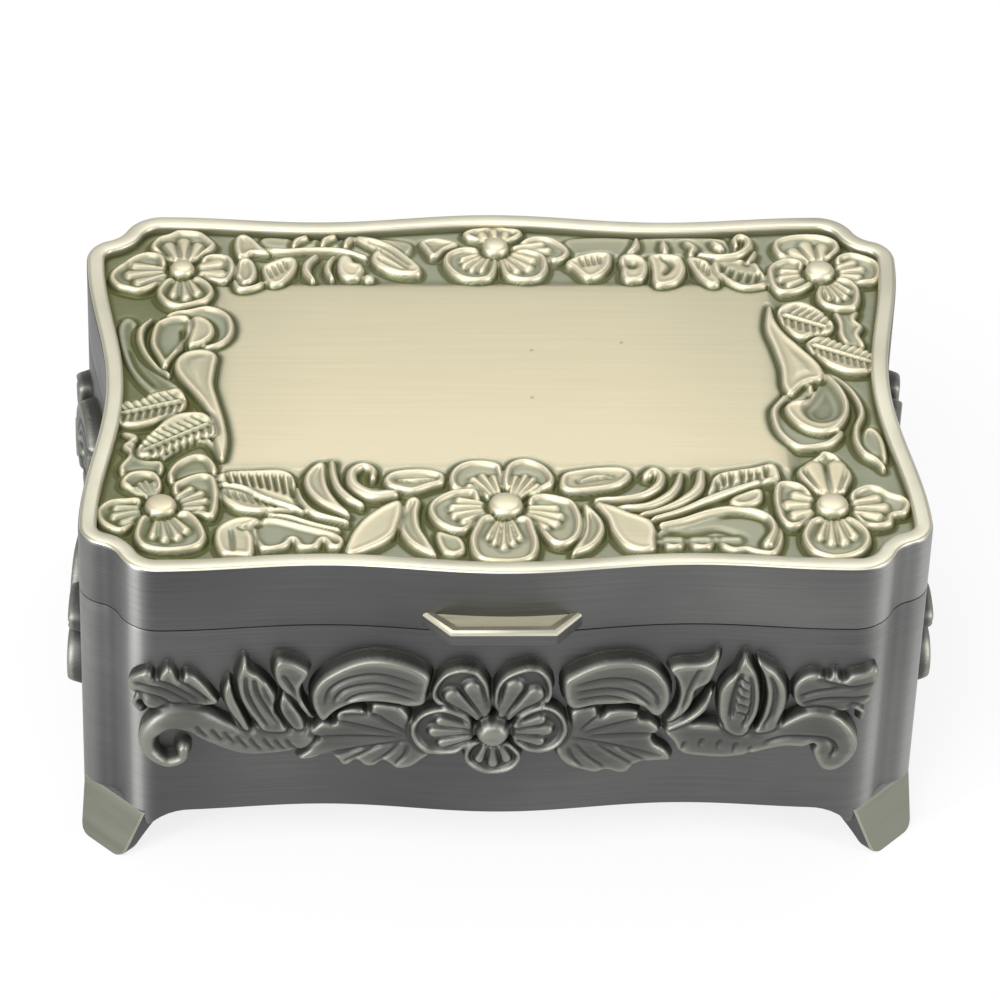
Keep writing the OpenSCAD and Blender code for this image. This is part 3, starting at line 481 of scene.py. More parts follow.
def draw_left(r):
    r.plate([(-46.1, 14.3), (-45.2, 14.3), (-44.4, 12.8), (-44.2, 10), (-43.6, 7.4), (-42.4, 4.8),
             (-40.4, 2.2), (-39.2, 0.4), (-41.8, -0.4), (-43, 0.4), (-44.5, 2.8), (-45.7, 6), (-46.5, 9.6),
             (-46.7, 12.6)], 0.5, 0.35)
    r.groove([(-45.4, 8.4), (-44.4, 4.6), (-42.2, 1)], 0.6, 0.25)
    r.stroke([(-42.7, 13.9), (-43.9, 12), (-44, 9.6), (-43.3, 7), (-42.2, 5), (-40.4, 3)],
             [0.5, 1.2, 1.2, 1, 0.7, 0.4], 1.1)
    # trumpet flower
    r.plate([(-40.9, 14.4), (-39.6, 15.3), (-38, 15.7), (-36, 16.3), (-34.3, 15.7), (-33, 14.2), (-32.6, 12),
             (-33, 10), (-34.3, 8.5), (-35.9, 8), (-36.6, 9), (-37.8, 11), (-39.4, 13.4)], 1.2, 0.5)
    r.plate([(-42.3, 12.3), (-41.4, 13.5), (-39.8, 14.2), (-38.3, 14.2), (-37.6, 13.2), (-37.8, 11),
             (-38.6, 8.8), (-39.3, 7.2), (-40.2, 5.6), (-41, 4.4), (-41.9, 6.4), (-42.7, 9)], 1.3, 0.55)
    r.groove([(-38.9, 12), (-38.6, 9.8), (-39.2, 7.6)], 1.1, 0.5)
    r.plate([(-37.5, 14), (-36.2, 13.8), (-35.2, 12.4), (-35.1, 10.6), (-36, 9.2), (-37.4, 8.4), (-38.1, 8.8),
             (-37.7, 10.8), (-37.4, 12.4)], 1.3, 0.1)
    # stem, rounded at its top
    r.plate([(-37.4, 7.5), (-35.9, 7.5), (-34.7, 6.5), (-34.9, 4), (-35.1, 1), (-34.6, -2), (-33.8, -6),
             (-33.4, -10), (-33.9, -13.4), (-34.7, -10), (-35.2, -6), (-36, -3.4), (-37.2, -1), (-38.6, 1.4),
             (-39.6, 3.6), (-39.6, 5.4), (-38.8, 6.8)], 1.2, 0.12, 0.12)
    # ferns
    r.plate([(-47.3, -4.2), (-46.2, -2.6), (-44.2, -2.1), (-42.4, -0.9), (-40.6, -0.3), (-39.3, 0.1),
             (-38.5, -1.4), (-38.4, -3), (-39.4, -4.6), (-41, -5.8), (-42.8, -6.7), (-44.6, -7.1),
             (-46.1, -6.7), (-46.9, -5.6)], 1.15, 0.12)
    r.plate([(-44, -11.2), (-43.2, -9.4), (-42, -7.8), (-40.8, -6.1), (-39.4, -5), (-37.8, -4.6),
             (-36.1, -4.8), (-35.2, -6.4), (-35, -8.8), (-36.6, -8.9), (-38.4, -9.9), (-40, -11.1),
             (-41.4, -12.5), (-42.8, -12.9), (-43.9, -12.4)], 1.2, 0.12)
    fern_ribs(r, (-46.6, -4.6), (-39, -2.2), 2.1, 8)
    fern_ribs(r, (-43.4, -11.6), (-35.6, -6.6), 2.1, 9)


def fern_ribs(r, tip, root, reach, count):
    """A raised vein from tip to root, and slots on both sides that slant towards the tip."""
    tip, root = np.array(tip), np.array(root)
    along = (root - tip) / np.linalg.norm(root - tip)
    across = np.array([-along[1], along[0]])
    r.stroke([tip, root], [0.35, 0.5], 1.3, 0.25)
    for k in range(count):
        foot = tip + (root - tip) * (k + 0.7) / count
        for side in (-1, 1):
            ends = [foot + across * side * 0.25 + along * 0.2, foot + across * side * reach - along * 0.75]
            r.groove(ends, 0.4, 0.5)


def draw_right(r):
    # plate and long stroke outside
    r.plate([(44, -8), (45.2, -7.2), (46.2, -8.6), (46.6, -11), (46.4, -13.6), (45.2, -13.4), (43.9, -12),
             (43.6, -10)], 0.7, 0.4)
    r.stroke([(40.3, 3.8), (41.8, 2), (43.2, -0.2), (44.1, -2.8), (44.2, -5), (43.4, -7.4), (43.2, -10),
              (43.9, -12.2), (45.2, -13.5), (46.1, -15)], [0.4, 0.7, 0.9, 1, 1, 1, 1, 1, 0.9, 0.5], 1.2)
    r.plate([(42.6, 15.8), (45.4, 16), (45, 14), (45.8, 12.6), (45.2, 11), (45.7, 9.2), (45.4, 7.8),
             (43.6, 8.6), (42.8, 11), (42.8, 13.4)], 0.85, 0.35)
    # ring flower
    r.plate([(38.2, 1.8), (36.6, 1), (35.4, -0.6), (34.2, -2.4), (33.3, -4), (33.2, -6), (33.6, -8.2),
             (34.6, -10), (36, -11.3), (38, -11.3), (40.2, -10.4), (41.6, -8.2), (40, -6)], 1.15, 0.55)
    r.plate([(40.2, 3.2), (41.2, 1.8), (42.2, -0.2), (42.7, -2.6), (42.4, -5.2), (41.2, -7.6), (39.4, -8.6),
             (37.4, -8), (35.8, -6.4), (34.9, -4), (36, -2.6), (37.8, -2.2), (39, -0.4), (39.6, 1.6)], 1.3,
            0.12)
    r.plate([(40.1, 1.6), (41, -0.6), (41.5, -3), (41.1, -5), (39.6, -6), (38.2, -5.6), (37.6, -4),
             (38.6, -2.4), (39.4, -0.8)], 0.35, 0.5, 0, 0.6)
    # stem
    r.plate([(34.4, 16.4), (35, 13.4), (36.2, 10.4), (38, 7.6), (39.3, 5.6), (40, 3.6), (39.7, 1.9),
             (38.4, 1.5), (37.2, 0.6), (35.8, -1), (35, 0.6), (35, 4), (34.4, 8), (33.7, 12)], 1.2, 0.12,
            0.12)
    r.plate([(47.2, 5.3), (46.5, 7), (45, 8.1), (43, 8.9), (41, 10.2), (39.4, 10), (38.5, 8.6), (39.4, 6.8),
             (40.6, 5), (42, 4), (43.4, 3.3), (45.2, 3.3), (46.6, 4)], 1.2, 0.12)
    r.plate([(35.4, 15.2), (36.4, 16.8), (38.6, 17.2), (40.4, 15.8), (41.8, 13.8), (42.1, 12.2), (41, 11.2),
             (39.6, 10.8), (38.2, 10), (36.8, 10.8), (35.8, 12.8)], 1.15, 0.12)
    fern_ribs(r, (46.6, 5.4), (39.4, 8.8), 2, 9)
    fern_ribs(r, (41.4, 12.4), (36.2, 14.8), 2.2, 6)


def draw_back(r):
    # left half
    r.plate([(-28.8, 30.8), (-24, 30.6), (-16, 30.8), (-10.6, 30), (-10.4, 28), (-12.6, 27.4), (-15, 27),
             (-18, 27.6), (-22, 27.8), (-25.4, 27), (-28.8, 27.4)], 0.45, 0.1)
    for x, y in ((-25, 28.7), (-21.4, 28.9), (-18.5, 28.8)):
        r.stroke([(x, y), (x + 0.5, y + 1.3), (x + 1.6, y + 2)], [0.7, 1.2, 0.7], 1.1, 0.4)
    r.stroke([(-29.6, 29), (-28.6, 28.2), (-26, 27.8), (-22.8, 28.1), (-19, 27.9), (-15.8, 26.4)],
             [0.9, 1.1, 1, 0.9, 1, 0.7], 1.15)
    r.plate([(-32.2, 30.4), (-31.2, 31), (-30, 30), (-29.1, 28.4), (-28.2, 27.2), (-30.4, 27.2),
             (-30.9, 25.6), (-31.7, 26), (-32.3, 28)], 1.1, 0.3)
    r.plate([(-31.9, 25.6), (-30.8, 26), (-30, 25), (-29.7, 23), (-30.3, 21.4), (-31.4, 21), (-32.2, 22),
             (-32.3, 24)], 1.2, 0.3)
    r.stroke([(-32.5, 21.6), (-31.9, 20.1), (-30.8, 20), (-29.4, 20.7), (-28.2, 22.2)], [0.6, 1, 1, 0.9, 0.5],
             1.2)
    r.plate([(-28.9, 24.3), (-27.6, 25.4), (-26, 26.2), (-24.9, 26), (-24.6, 24.6), (-25.3, 22.8),
             (-26.5, 21), (-27.8, 20.7), (-28.5, 22)], 1.2, 0.1)
    for k in range(4):
        r.groove([(-26.2 - 0.7 * k, 25.4 - 0.5 * k), (-25.8 - 0.65 * k, 23.6 - 0.6 * k)], 0.4, 0.45)
    r.stroke([(-22.2, 26.6), (-23.2, 25.2), (-23.4, 23.6), (-22.6, 21.8)], [0.8, 1.3, 1.3, 0.7], 1.25)
    r.stroke([(-19.9, 26.4), (-20.6, 25), (-20.7, 23.6), (-20.2, 22.2)], [0.7, 1.1, 1.1, 0.6], 1.25)
    r.plate([(-18.9, 26.5), (-19.4, 25), (-19.3, 23.2), (-18.3, 22), (-17, 22), (-16.3, 23.2), (-16.5, 24.6),
             (-17.5, 25.1), (-17.9, 26.2)], 1.3, 0.08)
    r.boss((-15.6, 22.3), 0.9, 1.0, 0.4)
    r.plate([(-17, 30.4), (-14.8, 30.1), (-12.6, 28.7), (-10.8, 26.6), (-9.2, 24.3), (-9.4, 22.9),
             (-11.4, 22.9), (-13.4, 23.8), (-15, 25.4), (-15, 26.9), (-14.5, 27.8), (-15.6, 28.9)], 1.25,
            0.12)
    for line in ([(-15.6, 29.5), (-13.2, 28), (-10.4, 24.6)], [(-14, 27.7), (-12.6, 26.2), (-10.6, 23.8)],
                 [(-14.3, 26), (-13, 24.9), (-11.2, 23.6)]):
        r.groove(line, 0.5, 0.55)
    r.plate([(-8.9, 29.7), (-7.4, 30.4), (-6, 30.2), (-4.2, 29.3), (-5.8, 28.1), (-6.6, 27), (-7.6, 26.7),
             (-8.3, 28)], 1.0, 0.45)
    # right half
    r.plate([(9.6, 30.4), (14, 31), (18.4, 30.8), (24, 31), (29.6, 30.6), (30, 28.2), (27, 27), (22, 27.2),
             (17.4, 27), (13.6, 27.4), (10.2, 27.6)], 0.45, 0.1)
    for line in ([(18.5, 30.2), (18.3, 28.8), (17.3, 27.2)], [(21.9, 29.8), (22, 27.6)],
                 [(24.8, 29.6), (25.6, 28.6), (25.3, 27.2)], [(28.2, 29.6), (29.2, 28.6)]):
        r.stroke(line, [0.7, 1.3, 1], 1.1, 0.4)
    r.plate([(9.4, 25.3), (11, 26.5), (13, 27.3), (14.9, 27.1), (15, 25.4), (14.5, 24), (13.5, 22.7),
             (12.2, 22), (11.2, 22.7), (10.2, 24.2)], 1.25, 0.16)
    for k in range(4):
        r.groove([(11.2 + 0.75 * k, 26.1 + 0.1 * k), (11.5 + 0.7 * k, 24.3 + 0.2 * k)], 0.4, 0.5)
    r.plate([(16.7, 26.7), (18.4, 26.7), (19.7, 25.4), (19.5, 23.4), (18.7, 21.8), (17, 21.5), (16.3, 22.6),
             (16.4, 24.4), (16.1, 25.7)], 1.3, 0.12)
    r.boss((17.6, 24.7), 0.55, 0.3, 0.4)
    r.plate([(19.9, 26.5), (21.4, 26.9), (23.7, 26.5), (24.3, 25), (24.1, 23), (23.1, 21.2), (21, 20.5),
             (20.2, 21.4), (20.2, 23.4), (20.1, 25)], 1.3, 0.12)
    r.groove([(21.4, 26.2), (22.5, 24.6), (21.6, 22.6)], 0.75, 0.65)
    r.plate([(24.7, 26.1), (26, 26.1), (27.7, 25), (28.5, 23), (28.3, 20.9), (27.3, 20.7), (26.1, 22),
             (25.3, 24)], 1.25, 0.12)
    for k in range(3):
        r.groove([(26 + 0.6 * k, 25.6 - 0.6 * k), (26.1 + 0.5 * k, 23.8 - 0.7 * k)], 0.4, 0.5)
    r.plate([(28, 25.5), (30, 26.3), (32, 26.1), (33.4, 25.1), (34, 23.5), (34.9, 22.4), (34.6, 20.9),
             (32.2, 20.1), (30.4, 20.7), (28.7, 22.6)], 1.1, 0.4)
    for k, (x, y) in enumerate(((28.8, 23.7), (29.8, 22.9), (30.9, 22.3), (32, 22), (33.1, 22))):
        r.groove([(x + 0.5, y + 1.3), (x, y - 0.5)], 0.55, 0.5)
    r.stroke([(26.2, 27.1), (28.6, 26.6), (31, 27), (32.5, 28.4), (32.7, 30), (31.8, 30.8), (31, 30.1),
              (31.1, 28.9)], [0.5, 1.1, 1.3, 1.4, 1.2, 1.1, 1, 0.6], 1.25)
    r.stroke([(33.4, 27.6), (33, 26.6), (32.4, 25.6)], [0.6, 0.9, 0.5], 1.1)


def draw_corner_flowers(r):
    c = (-41.2, -22.3)
    r.petal([(-43.4, -19.9), (-45, -18.8), (-46, -17.6), (-45, -16), (-43.2, -15.6), (-41.8, -16.2),
             (-41.2, -18), (-41.8, -19.8)], c, 4, 1.1)
    r.petal([(-43.6, -21), (-45.4, -20.8), (-47.4, -21.2), (-48.7, -22.8), (-48.5, -24.8), (-47.2, -26.2),
             (-45.8, -26.7), (-44.6, -25.6), (-43.4, -24.2)], c, 3, 1.15)
    r.petal([(-39.8, -18.9), (-38.6, -17.2), (-36.4, -16.2), (-35, -16.8), (-34.5, -19), (-34.5, -22),
             (-34.9, -23.9), (-35.7, -24.1), (-36.8, -23.4), (-38.4, -23)], c, 4, 1.2, share=0.6)
    r.petal([(-43.2, -24), (-44, -26), (-44.1, -28.2), (-43, -29.8), (-40.4, -30.5), (-37.2, -29.9),
             (-35.9, -28.2), (-36.3, -25.8), (-37.6, -23.6), (-39, -23.2), (-41.4, -23.6)], c, 4, 1.3)
    r.boss(c, 2.05, 1.9)
    c = (39.2, -22.4)
    r.petal([(37.6, -19.6), (36, -17.4), (35.6, -15.8), (36.8, -14.2), (38.2, -13.1), (38.9, -12.2),
             (40.3, -12.8), (41.5, -14.8), (41.9, -16.7), (41.3, -18.6), (40.6, -19.8)], c, 2, 1.2,
            share=0.72)
    r.petal([(33.2, -17.9), (35.4, -18.1), (36.7, -19.8), (37.1, -22), (36.7, -24), (35.6, -25.6),
             (34, -26.1), (32.8, -24.8), (32.4, -22), (32.5, -19.5)], c, 3, 1.2)
    r.petal([(41.7, -19.9), (43.4, -18.6), (45, -18.7), (46.4, -19.9), (47.9, -20.7), (48.6, -22),
             (47.9, -23.7), (46.4, -24.2), (46, -25.6), (44.4, -26.2), (42.6, -25.7), (41.7, -24),
             (41.5, -22)], c, 3, 1.2, share=0.55)
    r.petal([(37, -24.6), (35.6, -26.6), (35.3, -28.6), (36.1, -30.7), (38, -31.9), (40, -31.9),
             (42.1, -30.8), (43.2, -29), (43.1, -27), (42, -25.3), (40.6, -24.4)], c, 4, 1.3)
    r.boss(c, 2.1, 2.0)
    c = (-39, 23.7)
    r.petal([(-40.6, 26), (-42, 27), (-42.9, 28.6), (-42.1, 30.3), (-40.6, 31.1), (-39.6, 31.8),
             (-38.2, 31.8), (-36.7, 31.4), (-35.5, 30), (-34.9, 28.8), (-36, 27.3), (-37.4, 26)], c, 3, 1.2)
    r.petal([(-41.4, 26.4), (-43, 27.3), (-44.8, 26.7), (-46.4, 25.1), (-47.7, 23.5), (-48, 22),
             (-47.1, 20.5), (-45.6, 19.8), (-44.2, 19.5), (-42.6, 20.4), (-41, 21.7), (-41, 24)], c, 3, 1.2)
    r.petal([(-36.1, 26.5), (-34.4, 26.9), (-33, 26.3), (-32.5, 24.6), (-32.8, 22.7), (-33.6, 21.4),
             (-35, 21.8), (-36.5, 22.7), (-36.8, 24.6)], c, 2, 1.2)
    r.petal([(-40.6, 21.9), (-41.7, 20.4), (-42, 18.8), (-41.1, 17.1), (-39.4, 16.2), (-37.6, 16.6),
             (-35.9, 17.5), (-35.1, 19), (-35.5, 20.7), (-36.8, 22.1), (-38.6, 22.4)], c, 3, 1.25, boss_r=1.9)
    r.boss(c, 1.7, 1.9)
    c = (41.3, 23.3)
    r.petal([(38.6, 26.1), (36.8, 26.6), (35.9, 28), (36.1, 29.7), (37.6, 30.7), (40, 31.1), (42.4, 30.8),
             (43.9, 29.7), (44.1, 28.2), (43.3, 26.9), (42, 26.1), (40, 25.8)], c, 3, 1.2)
    r.petal([(43.7, 26.4), (45.4, 27.3), (47.2, 26.7), (48.7, 25.5), (49.1, 23.6), (48.5, 21.7), (47, 21.2),
             (45.4, 21.4), (44.1, 22.8), (43.6, 24.4)], c, 3, 1.2, share=0.55)
    r.petal([(39.2, 25.4), (37.6, 26.1), (35.7, 25.3), (34.8, 23.8), (34.9, 22), (35.1, 20.3), (36.2, 19.2),
             (38, 19.4), (39.7, 20.5), (40.3, 21.6), (39.5, 23)], c, 3, 1.2)
    r.petal([(42.4, 22), (41.3, 20.8), (40.6, 19), (40.8, 17.3), (42, 16.2), (43.8, 15.8), (45.3, 16.3),
             (45.9, 18), (45.9, 20), (45.1, 21.5), (43.8, 22.2)], c, 4, 1.25)
    r.boss(c, 2.0, 2.0)


def draw_middle_flowers(r):
    c = (0, -22.3)
    r.petal([(-3, -19), (-5.6, -19.2), (-6.5, -18), (-6.4, -16.3), (-5.5, -14.8), (-4, -14), (-2, -14),
             (-0.4, -14.8), (0, -17), (-0.6, -19)], c, 4, 1.25)
    r.petal([(0.2, -18.8), (0.1, -16.4), (0.5, -14.8), (1.6, -13.8), (3.2, -13.7), (4.9, -14.9), (5.9, -16.8),
             (5.7, -18.2), (4.5, -19.1), (3.8, -20), (2.4, -19.6)], c, 4, 1.25)
    r.petal([(-3.4, -19.6), (-5.4, -19.4), (-7, -19.9), (-8.7, -21.4), (-9.2, -23.2), (-8.5, -25.1),
             (-6.9, -26.5), (-5.1, -26.9), (-3.8, -25.4), (-3, -23.6)], c, 4, 1.3)
    r.petal([(3, -20.8), (4.6, -20.2), (6.6, -20.7), (8.1, -21.6), (8.8, -23.6), (8.9, -26), (8.3, -28.1),
             (6.8, -29.4), (5.3, -29), (4.1, -27.2), (3.2, -25), (2.6, -23)], c, 4, 1.3)
    r.petal([(-2.6, -24.2), (-3.8, -26.2), (-4.4, -28.6), (-4.1, -31), (-3, -32.3), (-1, -32.7), (1.4, -32.6),
             (3, -31.6), (3.6, -29.4), (3.3, -26.8), (2.6, -24.6), (0, -24)], c, 5, 1.35)
    r.boss(c, 2.2, 2.0)
    c = (0.5, 28.2)
    r.petal([(-2.4, 30.4), (-3.4, 31.4), (-2.6, 32.2), (-1, 32.6), (0.5, 32.8), (2, 32.6), (3.6, 32.2),
             (3.9, 31.2), (2.6, 30.2), (0.5, 29.9)], c, 3, 1.0)
    r.petal([(3.2, 28.2), (4, 29.7), (5.6, 30.6), (7.5, 30.4), (9, 29.1), (9.8, 27.6), (9.3, 26.3), (8, 25.6),
             (6.8, 26.2), (5.6, 27.4), (4.4, 27.8)], c, 3, 1.2)
    r.petal([(-0.6, 27.5), (-2.4, 28.2), (-4.1, 28.1), (-5.7, 26.9), (-6, 25), (-5.1, 23.1), (-3.6, 21.8),
             (-1.8, 21.5), (-0.3, 22.1), (0.5, 24), (0.8, 26), (0.5, 27.4)], c, 4, 1.3, boss_r=1.9)
    r.petal([(1.3, 27.3), (1.1, 25), (1.5, 22.9), (2.8, 21.8), (4.6, 21.5), (6.1, 22.3), (6.9, 24),
             (6.8, 25.9), (6.1, 27.1), (4.4, 27.8), (2.8, 27.6)], c, 3, 1.3, boss_r=1.9, share=0.6)
    r.boss(c, 1.8, 2.0)


def relief_sheet(name, points, keep, body, material, wear_and_painted_light):
    """A mesh over a grid of points, of the quads whose samples are all kept."""
    quads = grid_faces(*keep.shape)
    quads = quads[keep.ravel()[quads].all(1)]
    used, index = np.unique(quads, return_inverse=True)
    obj = add_object(name, points.reshape(-1, 3)[used], index.reshape(-1, 4).tolist(), body,
                     wear_and_painted_light=wear_and_painted_light.ravel()[used])
    obj.data.materials.append(material)
    return obj


# Materials
def srgb(r, g, b):
    def lin(c):
        c /= 255
        return c / 12.92 if c <= 0.04045 else ((c + 0.055) / 1.055) ** 2.4
    return (lin(r), lin(g), lin(b), 1)


class Nodes:
    """A material's node tree, with short calls to add and join nodes."""

    def __init__(self, name):
        self.material = bpy.data.materials.new(name)
        self.material.use_nodes = True
        self.tree = self.material.node_tree
        self.bsdf = self.tree.nodes["Principled BSDF"]
        self.bsdf.inputs["Specular IOR Level"].default_value = 0.5

    def add(self, kind, **values):
        node = self.tree.nodes.new(kind)
        for key, value in values.items():
            if hasattr(node, key):
                setattr(node, key, value)
            else:
                node.inputs[key].default_value = value
        return node

    def join(self, a, b):
        self.tree.links.new(a, b)

    def noise(self, scale, stretch=(1, 1, 1), detail=3.0):
        coords = self.add("ShaderNodeTexCoord")
        mapping = self.add("ShaderNodeMapping")
        mapping.inputs["Scale"].default_value = stretch
        noise = self.add("ShaderNodeTexNoise")
        noise.inputs["Scale"].default_value = scale
        noise.inputs["Detail"].default_value = detail
        self.join(coords.outputs["Object"], mapping.inputs["Vector"])
        self.join(mapping.outputs["Vector"], noise.inputs["Vector"])
        return noise.outputs["Fac"]

    def ramp(self, value, stops):
        ramp = self.add("ShaderNodeValToRGB")
        for i, (at, colour) in enumerate(stops):
            e = ramp.color_ramp.elements
            stop = e[i] if i < 2 else e.new(at)
            stop.position, stop.color = at, colour
        self.join(value, ramp.inputs["Fac"])
        return ramp.outputs["Color"]

    def number(self, value, lo, hi, from_lo=0.0, from_hi=1.0):
        m = self.add("ShaderNodeMapRange")
        m.inputs["From Min"].default_value = from_lo
        m.inputs["From Max"].default_value = from_hi
        m.inputs["To Min"].default_value = lo
        m.inputs["To Max"].default_value = hi
        self.join(value, m.inputs["Value"])
        return m.outputs["Result"]

    def mixed(self, factor, a, b):
        mix = self.add("ShaderNodeMix", data_type="RGBA")
        for key, v in ((0, factor), (6, a), (7, b)):
            if hasattr(v, "links"):
                self.join(v, mix.inputs[key])
            else:
                mix.inputs[key].default_value = v
        return mix.outputs[2]

    def bump(self, value, strength, distance):
        bump = self.add("ShaderNodeBump")
        bump.inputs["Strength"].default_value = strength
        bump.inputs["Distance"].default_value = distance
        self.join(value, bump.inputs["Height"])
        self.join(bump.outputs["Normal"], self.bsdf.inputs["Normal"])


def brushed(name, dark, light, stretch, roughness, metallic=1.0):
    """Satin metal brushed across the direction in which the noise is stretched thin."""
    n = Nodes(name)
    streaks = n.noise(60, stretch, 4)
    clouds = n.noise(22, (1, 1, 1), 2)
    blend = n.mixed(0.3, streaks, clouds)
    n.join(n.ramp(blend, [(0.3, dark), (0.72, light)]), n.bsdf.inputs["Base Color"])
    n.join(n.number(streaks, roughness - 0.06, roughness + 0.08, 0.3, 0.7), n.bsdf.inputs["Roughness"])
    n.bsdf.inputs["Metallic"].default_value = metallic
    n.bump(streaks, 0.12, 0.00004)
    return n.material


def antiqued(name, stops, rough_low, rough_high, grain=(0.06, 1.4, 1.4), spread=0.035):
    """Antiqued metal: dark patina in the crevices, worn bright on the high edges, with any painted light and
    shade that its attribute carries.
    """
    n = Nodes(name)
    wear_and_painted_light = n.add("ShaderNodeAttribute", attribute_name="wear_and_painted_light")
    mottle = n.noise(700, grain, 3)
    shift = n.number(mottle, -spread, spread, 0.3, 0.7)
    total = n.add("ShaderNodeMath", operation="ADD")
    n.join(wear_and_painted_light.outputs["Fac"], total.inputs[0])
    n.join(shift, total.inputs[1])
    n.join(n.ramp(total.outputs[0], stops), n.bsdf.inputs["Base Color"])
    n.join(n.number(total.outputs[0], rough_low, rough_high), n.bsdf.inputs["Roughness"])
    n.join(n.number(total.outputs[0], 0.55, 1.0, 0.0, 0.5), n.bsdf.inputs["Metallic"])
    n.bump(mottle, 0.1, 0.00005)
    return n.material


def cast_wall(name, stops, roughness):
    """Satin cast wall, a shaded copy of the metal (painted shade): soft clouds, fine level streaks, and
    painted highlights on the ridges.
    """
    n = Nodes(name)
    wear_and_painted_light = n.add("ShaderNodeAttribute", attribute_name="wear_and_painted_light")
    clouds = n.noise(26, (1, 1, 1), 3)
    streaks = n.noise(60, (1, 1, 60), 4)
    total = wear_and_painted_light.outputs["Fac"]
    for part, reach in ((clouds, 0.09), (streaks, 0.035)):
        sum_node = n.add("ShaderNodeMath", operation="ADD")
        n.join(total, sum_node.inputs[0])
        n.join(n.number(part, -reach, reach, 0.34, 0.66), sum_node.inputs[1])
        total = sum_node.outputs[0]
    n.join(n.ramp(total, stops), n.bsdf.inputs["Base Color"])
    n.join(n.number(streaks, roughness - 0.04, roughness + 0.05, 0.3, 0.7), n.bsdf.inputs["Roughness"])
    n.bsdf.inputs["Metallic"].default_value = 1.0
    n.bump(streaks, 0.08, 0.00003)
    return n.material


def velvet_material(name, dark, light):
    n = Nodes(name)
    pile = n.noise(2600, (1, 1, 1), 2)
    drift = n.noise(90, (1, 1, 1), 3)
    n.join(n.ramp(n.mixed(0.5, pile, drift), [(0.32, dark), (0.7, light)]), n.bsdf.inputs["Base Color"])
    n.bsdf.inputs["Roughness"].default_value = 0.95
    n.bsdf.inputs["Sheen Weight"].default_value = 0.6
    n.bsdf.inputs["Sheen Roughness"].default_value = 0.4
    n.bsdf.inputs["Sheen Tint"].default_value = srgb(210, 90, 100)
    n.bump(pile, 0.5, 0.0002)
    return n.material


def card_material():
    n = Nodes("card")
    fibre = n.noise(800, (1, 1, 1), 4)
    colour = n.ramp(fibre, [(0.3, srgb(120, 100, 74)), (0.7, srgb(158, 136, 102))])
    n.join(colour, n.bsdf.inputs["Base Color"])
    n.bsdf.inputs["Roughness"].default_value = 0.9
    n.bump(fibre, 0.3, 0.0001)
    return n.material


# One antique pewter, painted as lit and shaded copies: darker copies (painted shade) for the upright walls,
# skirt, wall reliefs, tab front and seats; light cream copies (painted light) for the rim, lid relief and tab
# tray; a lighter copy (painted light) for the feet's faces, which tilt up
PEWTER_SHADED = brushed("pewter_brushed_shaded", srgb(86, 87, 86), srgb(110, 110, 108), (1, 1, 60), 0.42)
CAST_SHADED = cast_wall("pewter_cast_shaded", [(0.0, srgb(62, 63, 62)), (1.0, srgb(180, 180, 177)), (0.3, srgb(92, 93, 92)),
                                 (0.6, srgb(124, 124, 122))], 0.48)
RIM_LIT = brushed("rim_cream_lit", srgb(206, 201, 179), srgb(226, 221, 200), (1, 1, 1), 0.42)
FOOT_LIT = brushed("foot_satin_lit", srgb(112, 114, 103), srgb(128, 130, 117), (1, 1, 8), 0.5)
# painted highlight on the bevels of the feet
FOOT_EDGE_HIGHLIGHT = brushed("foot_edge_highlight", srgb(150, 152, 140), srgb(172, 174, 162), (1, 1, 8), 0.45)
TAB_TOP_LIT = brushed("tab_satin_lit", srgb(176, 170, 144), srgb(196, 190, 164), (2, 30, 2), 0.5, 0.35)
STEEL = brushed("steel_drawn", srgb(150, 150, 148), srgb(190, 190, 186), (40, 1, 1), 0.3)
LID_ANTIQUE_LIT = antiqued("lid_antique_lit", [
    (0.0, srgb(92, 94, 54)), (1.0, srgb(220, 213, 188)), (0.14, srgb(118, 120, 90)),
    (0.3, srgb(150, 152, 132)), (0.55, srgb(176, 173, 148)), (0.72, srgb(198, 191, 164)),
    (0.84, srgb(218, 208, 178))], 0.56, 0.5, (0.08, 3, 3), 0.016)
WALL_ANTIQUE_SHADED = antiqued("wall_antique_shaded", [
    (0.0, srgb(46, 48, 38)), (1.0, srgb(137, 138, 129)), (0.2, srgb(62, 63, 58)),
    (0.35, srgb(74, 75, 73)), (0.7, srgb(88, 89, 86)), (0.85, srgb(108, 109, 103))], 0.55, 0.5)
VELVET = velvet_material("wine_velvet", srgb(58, 6, 14), srgb(104, 14, 28))
CARD = card_material()


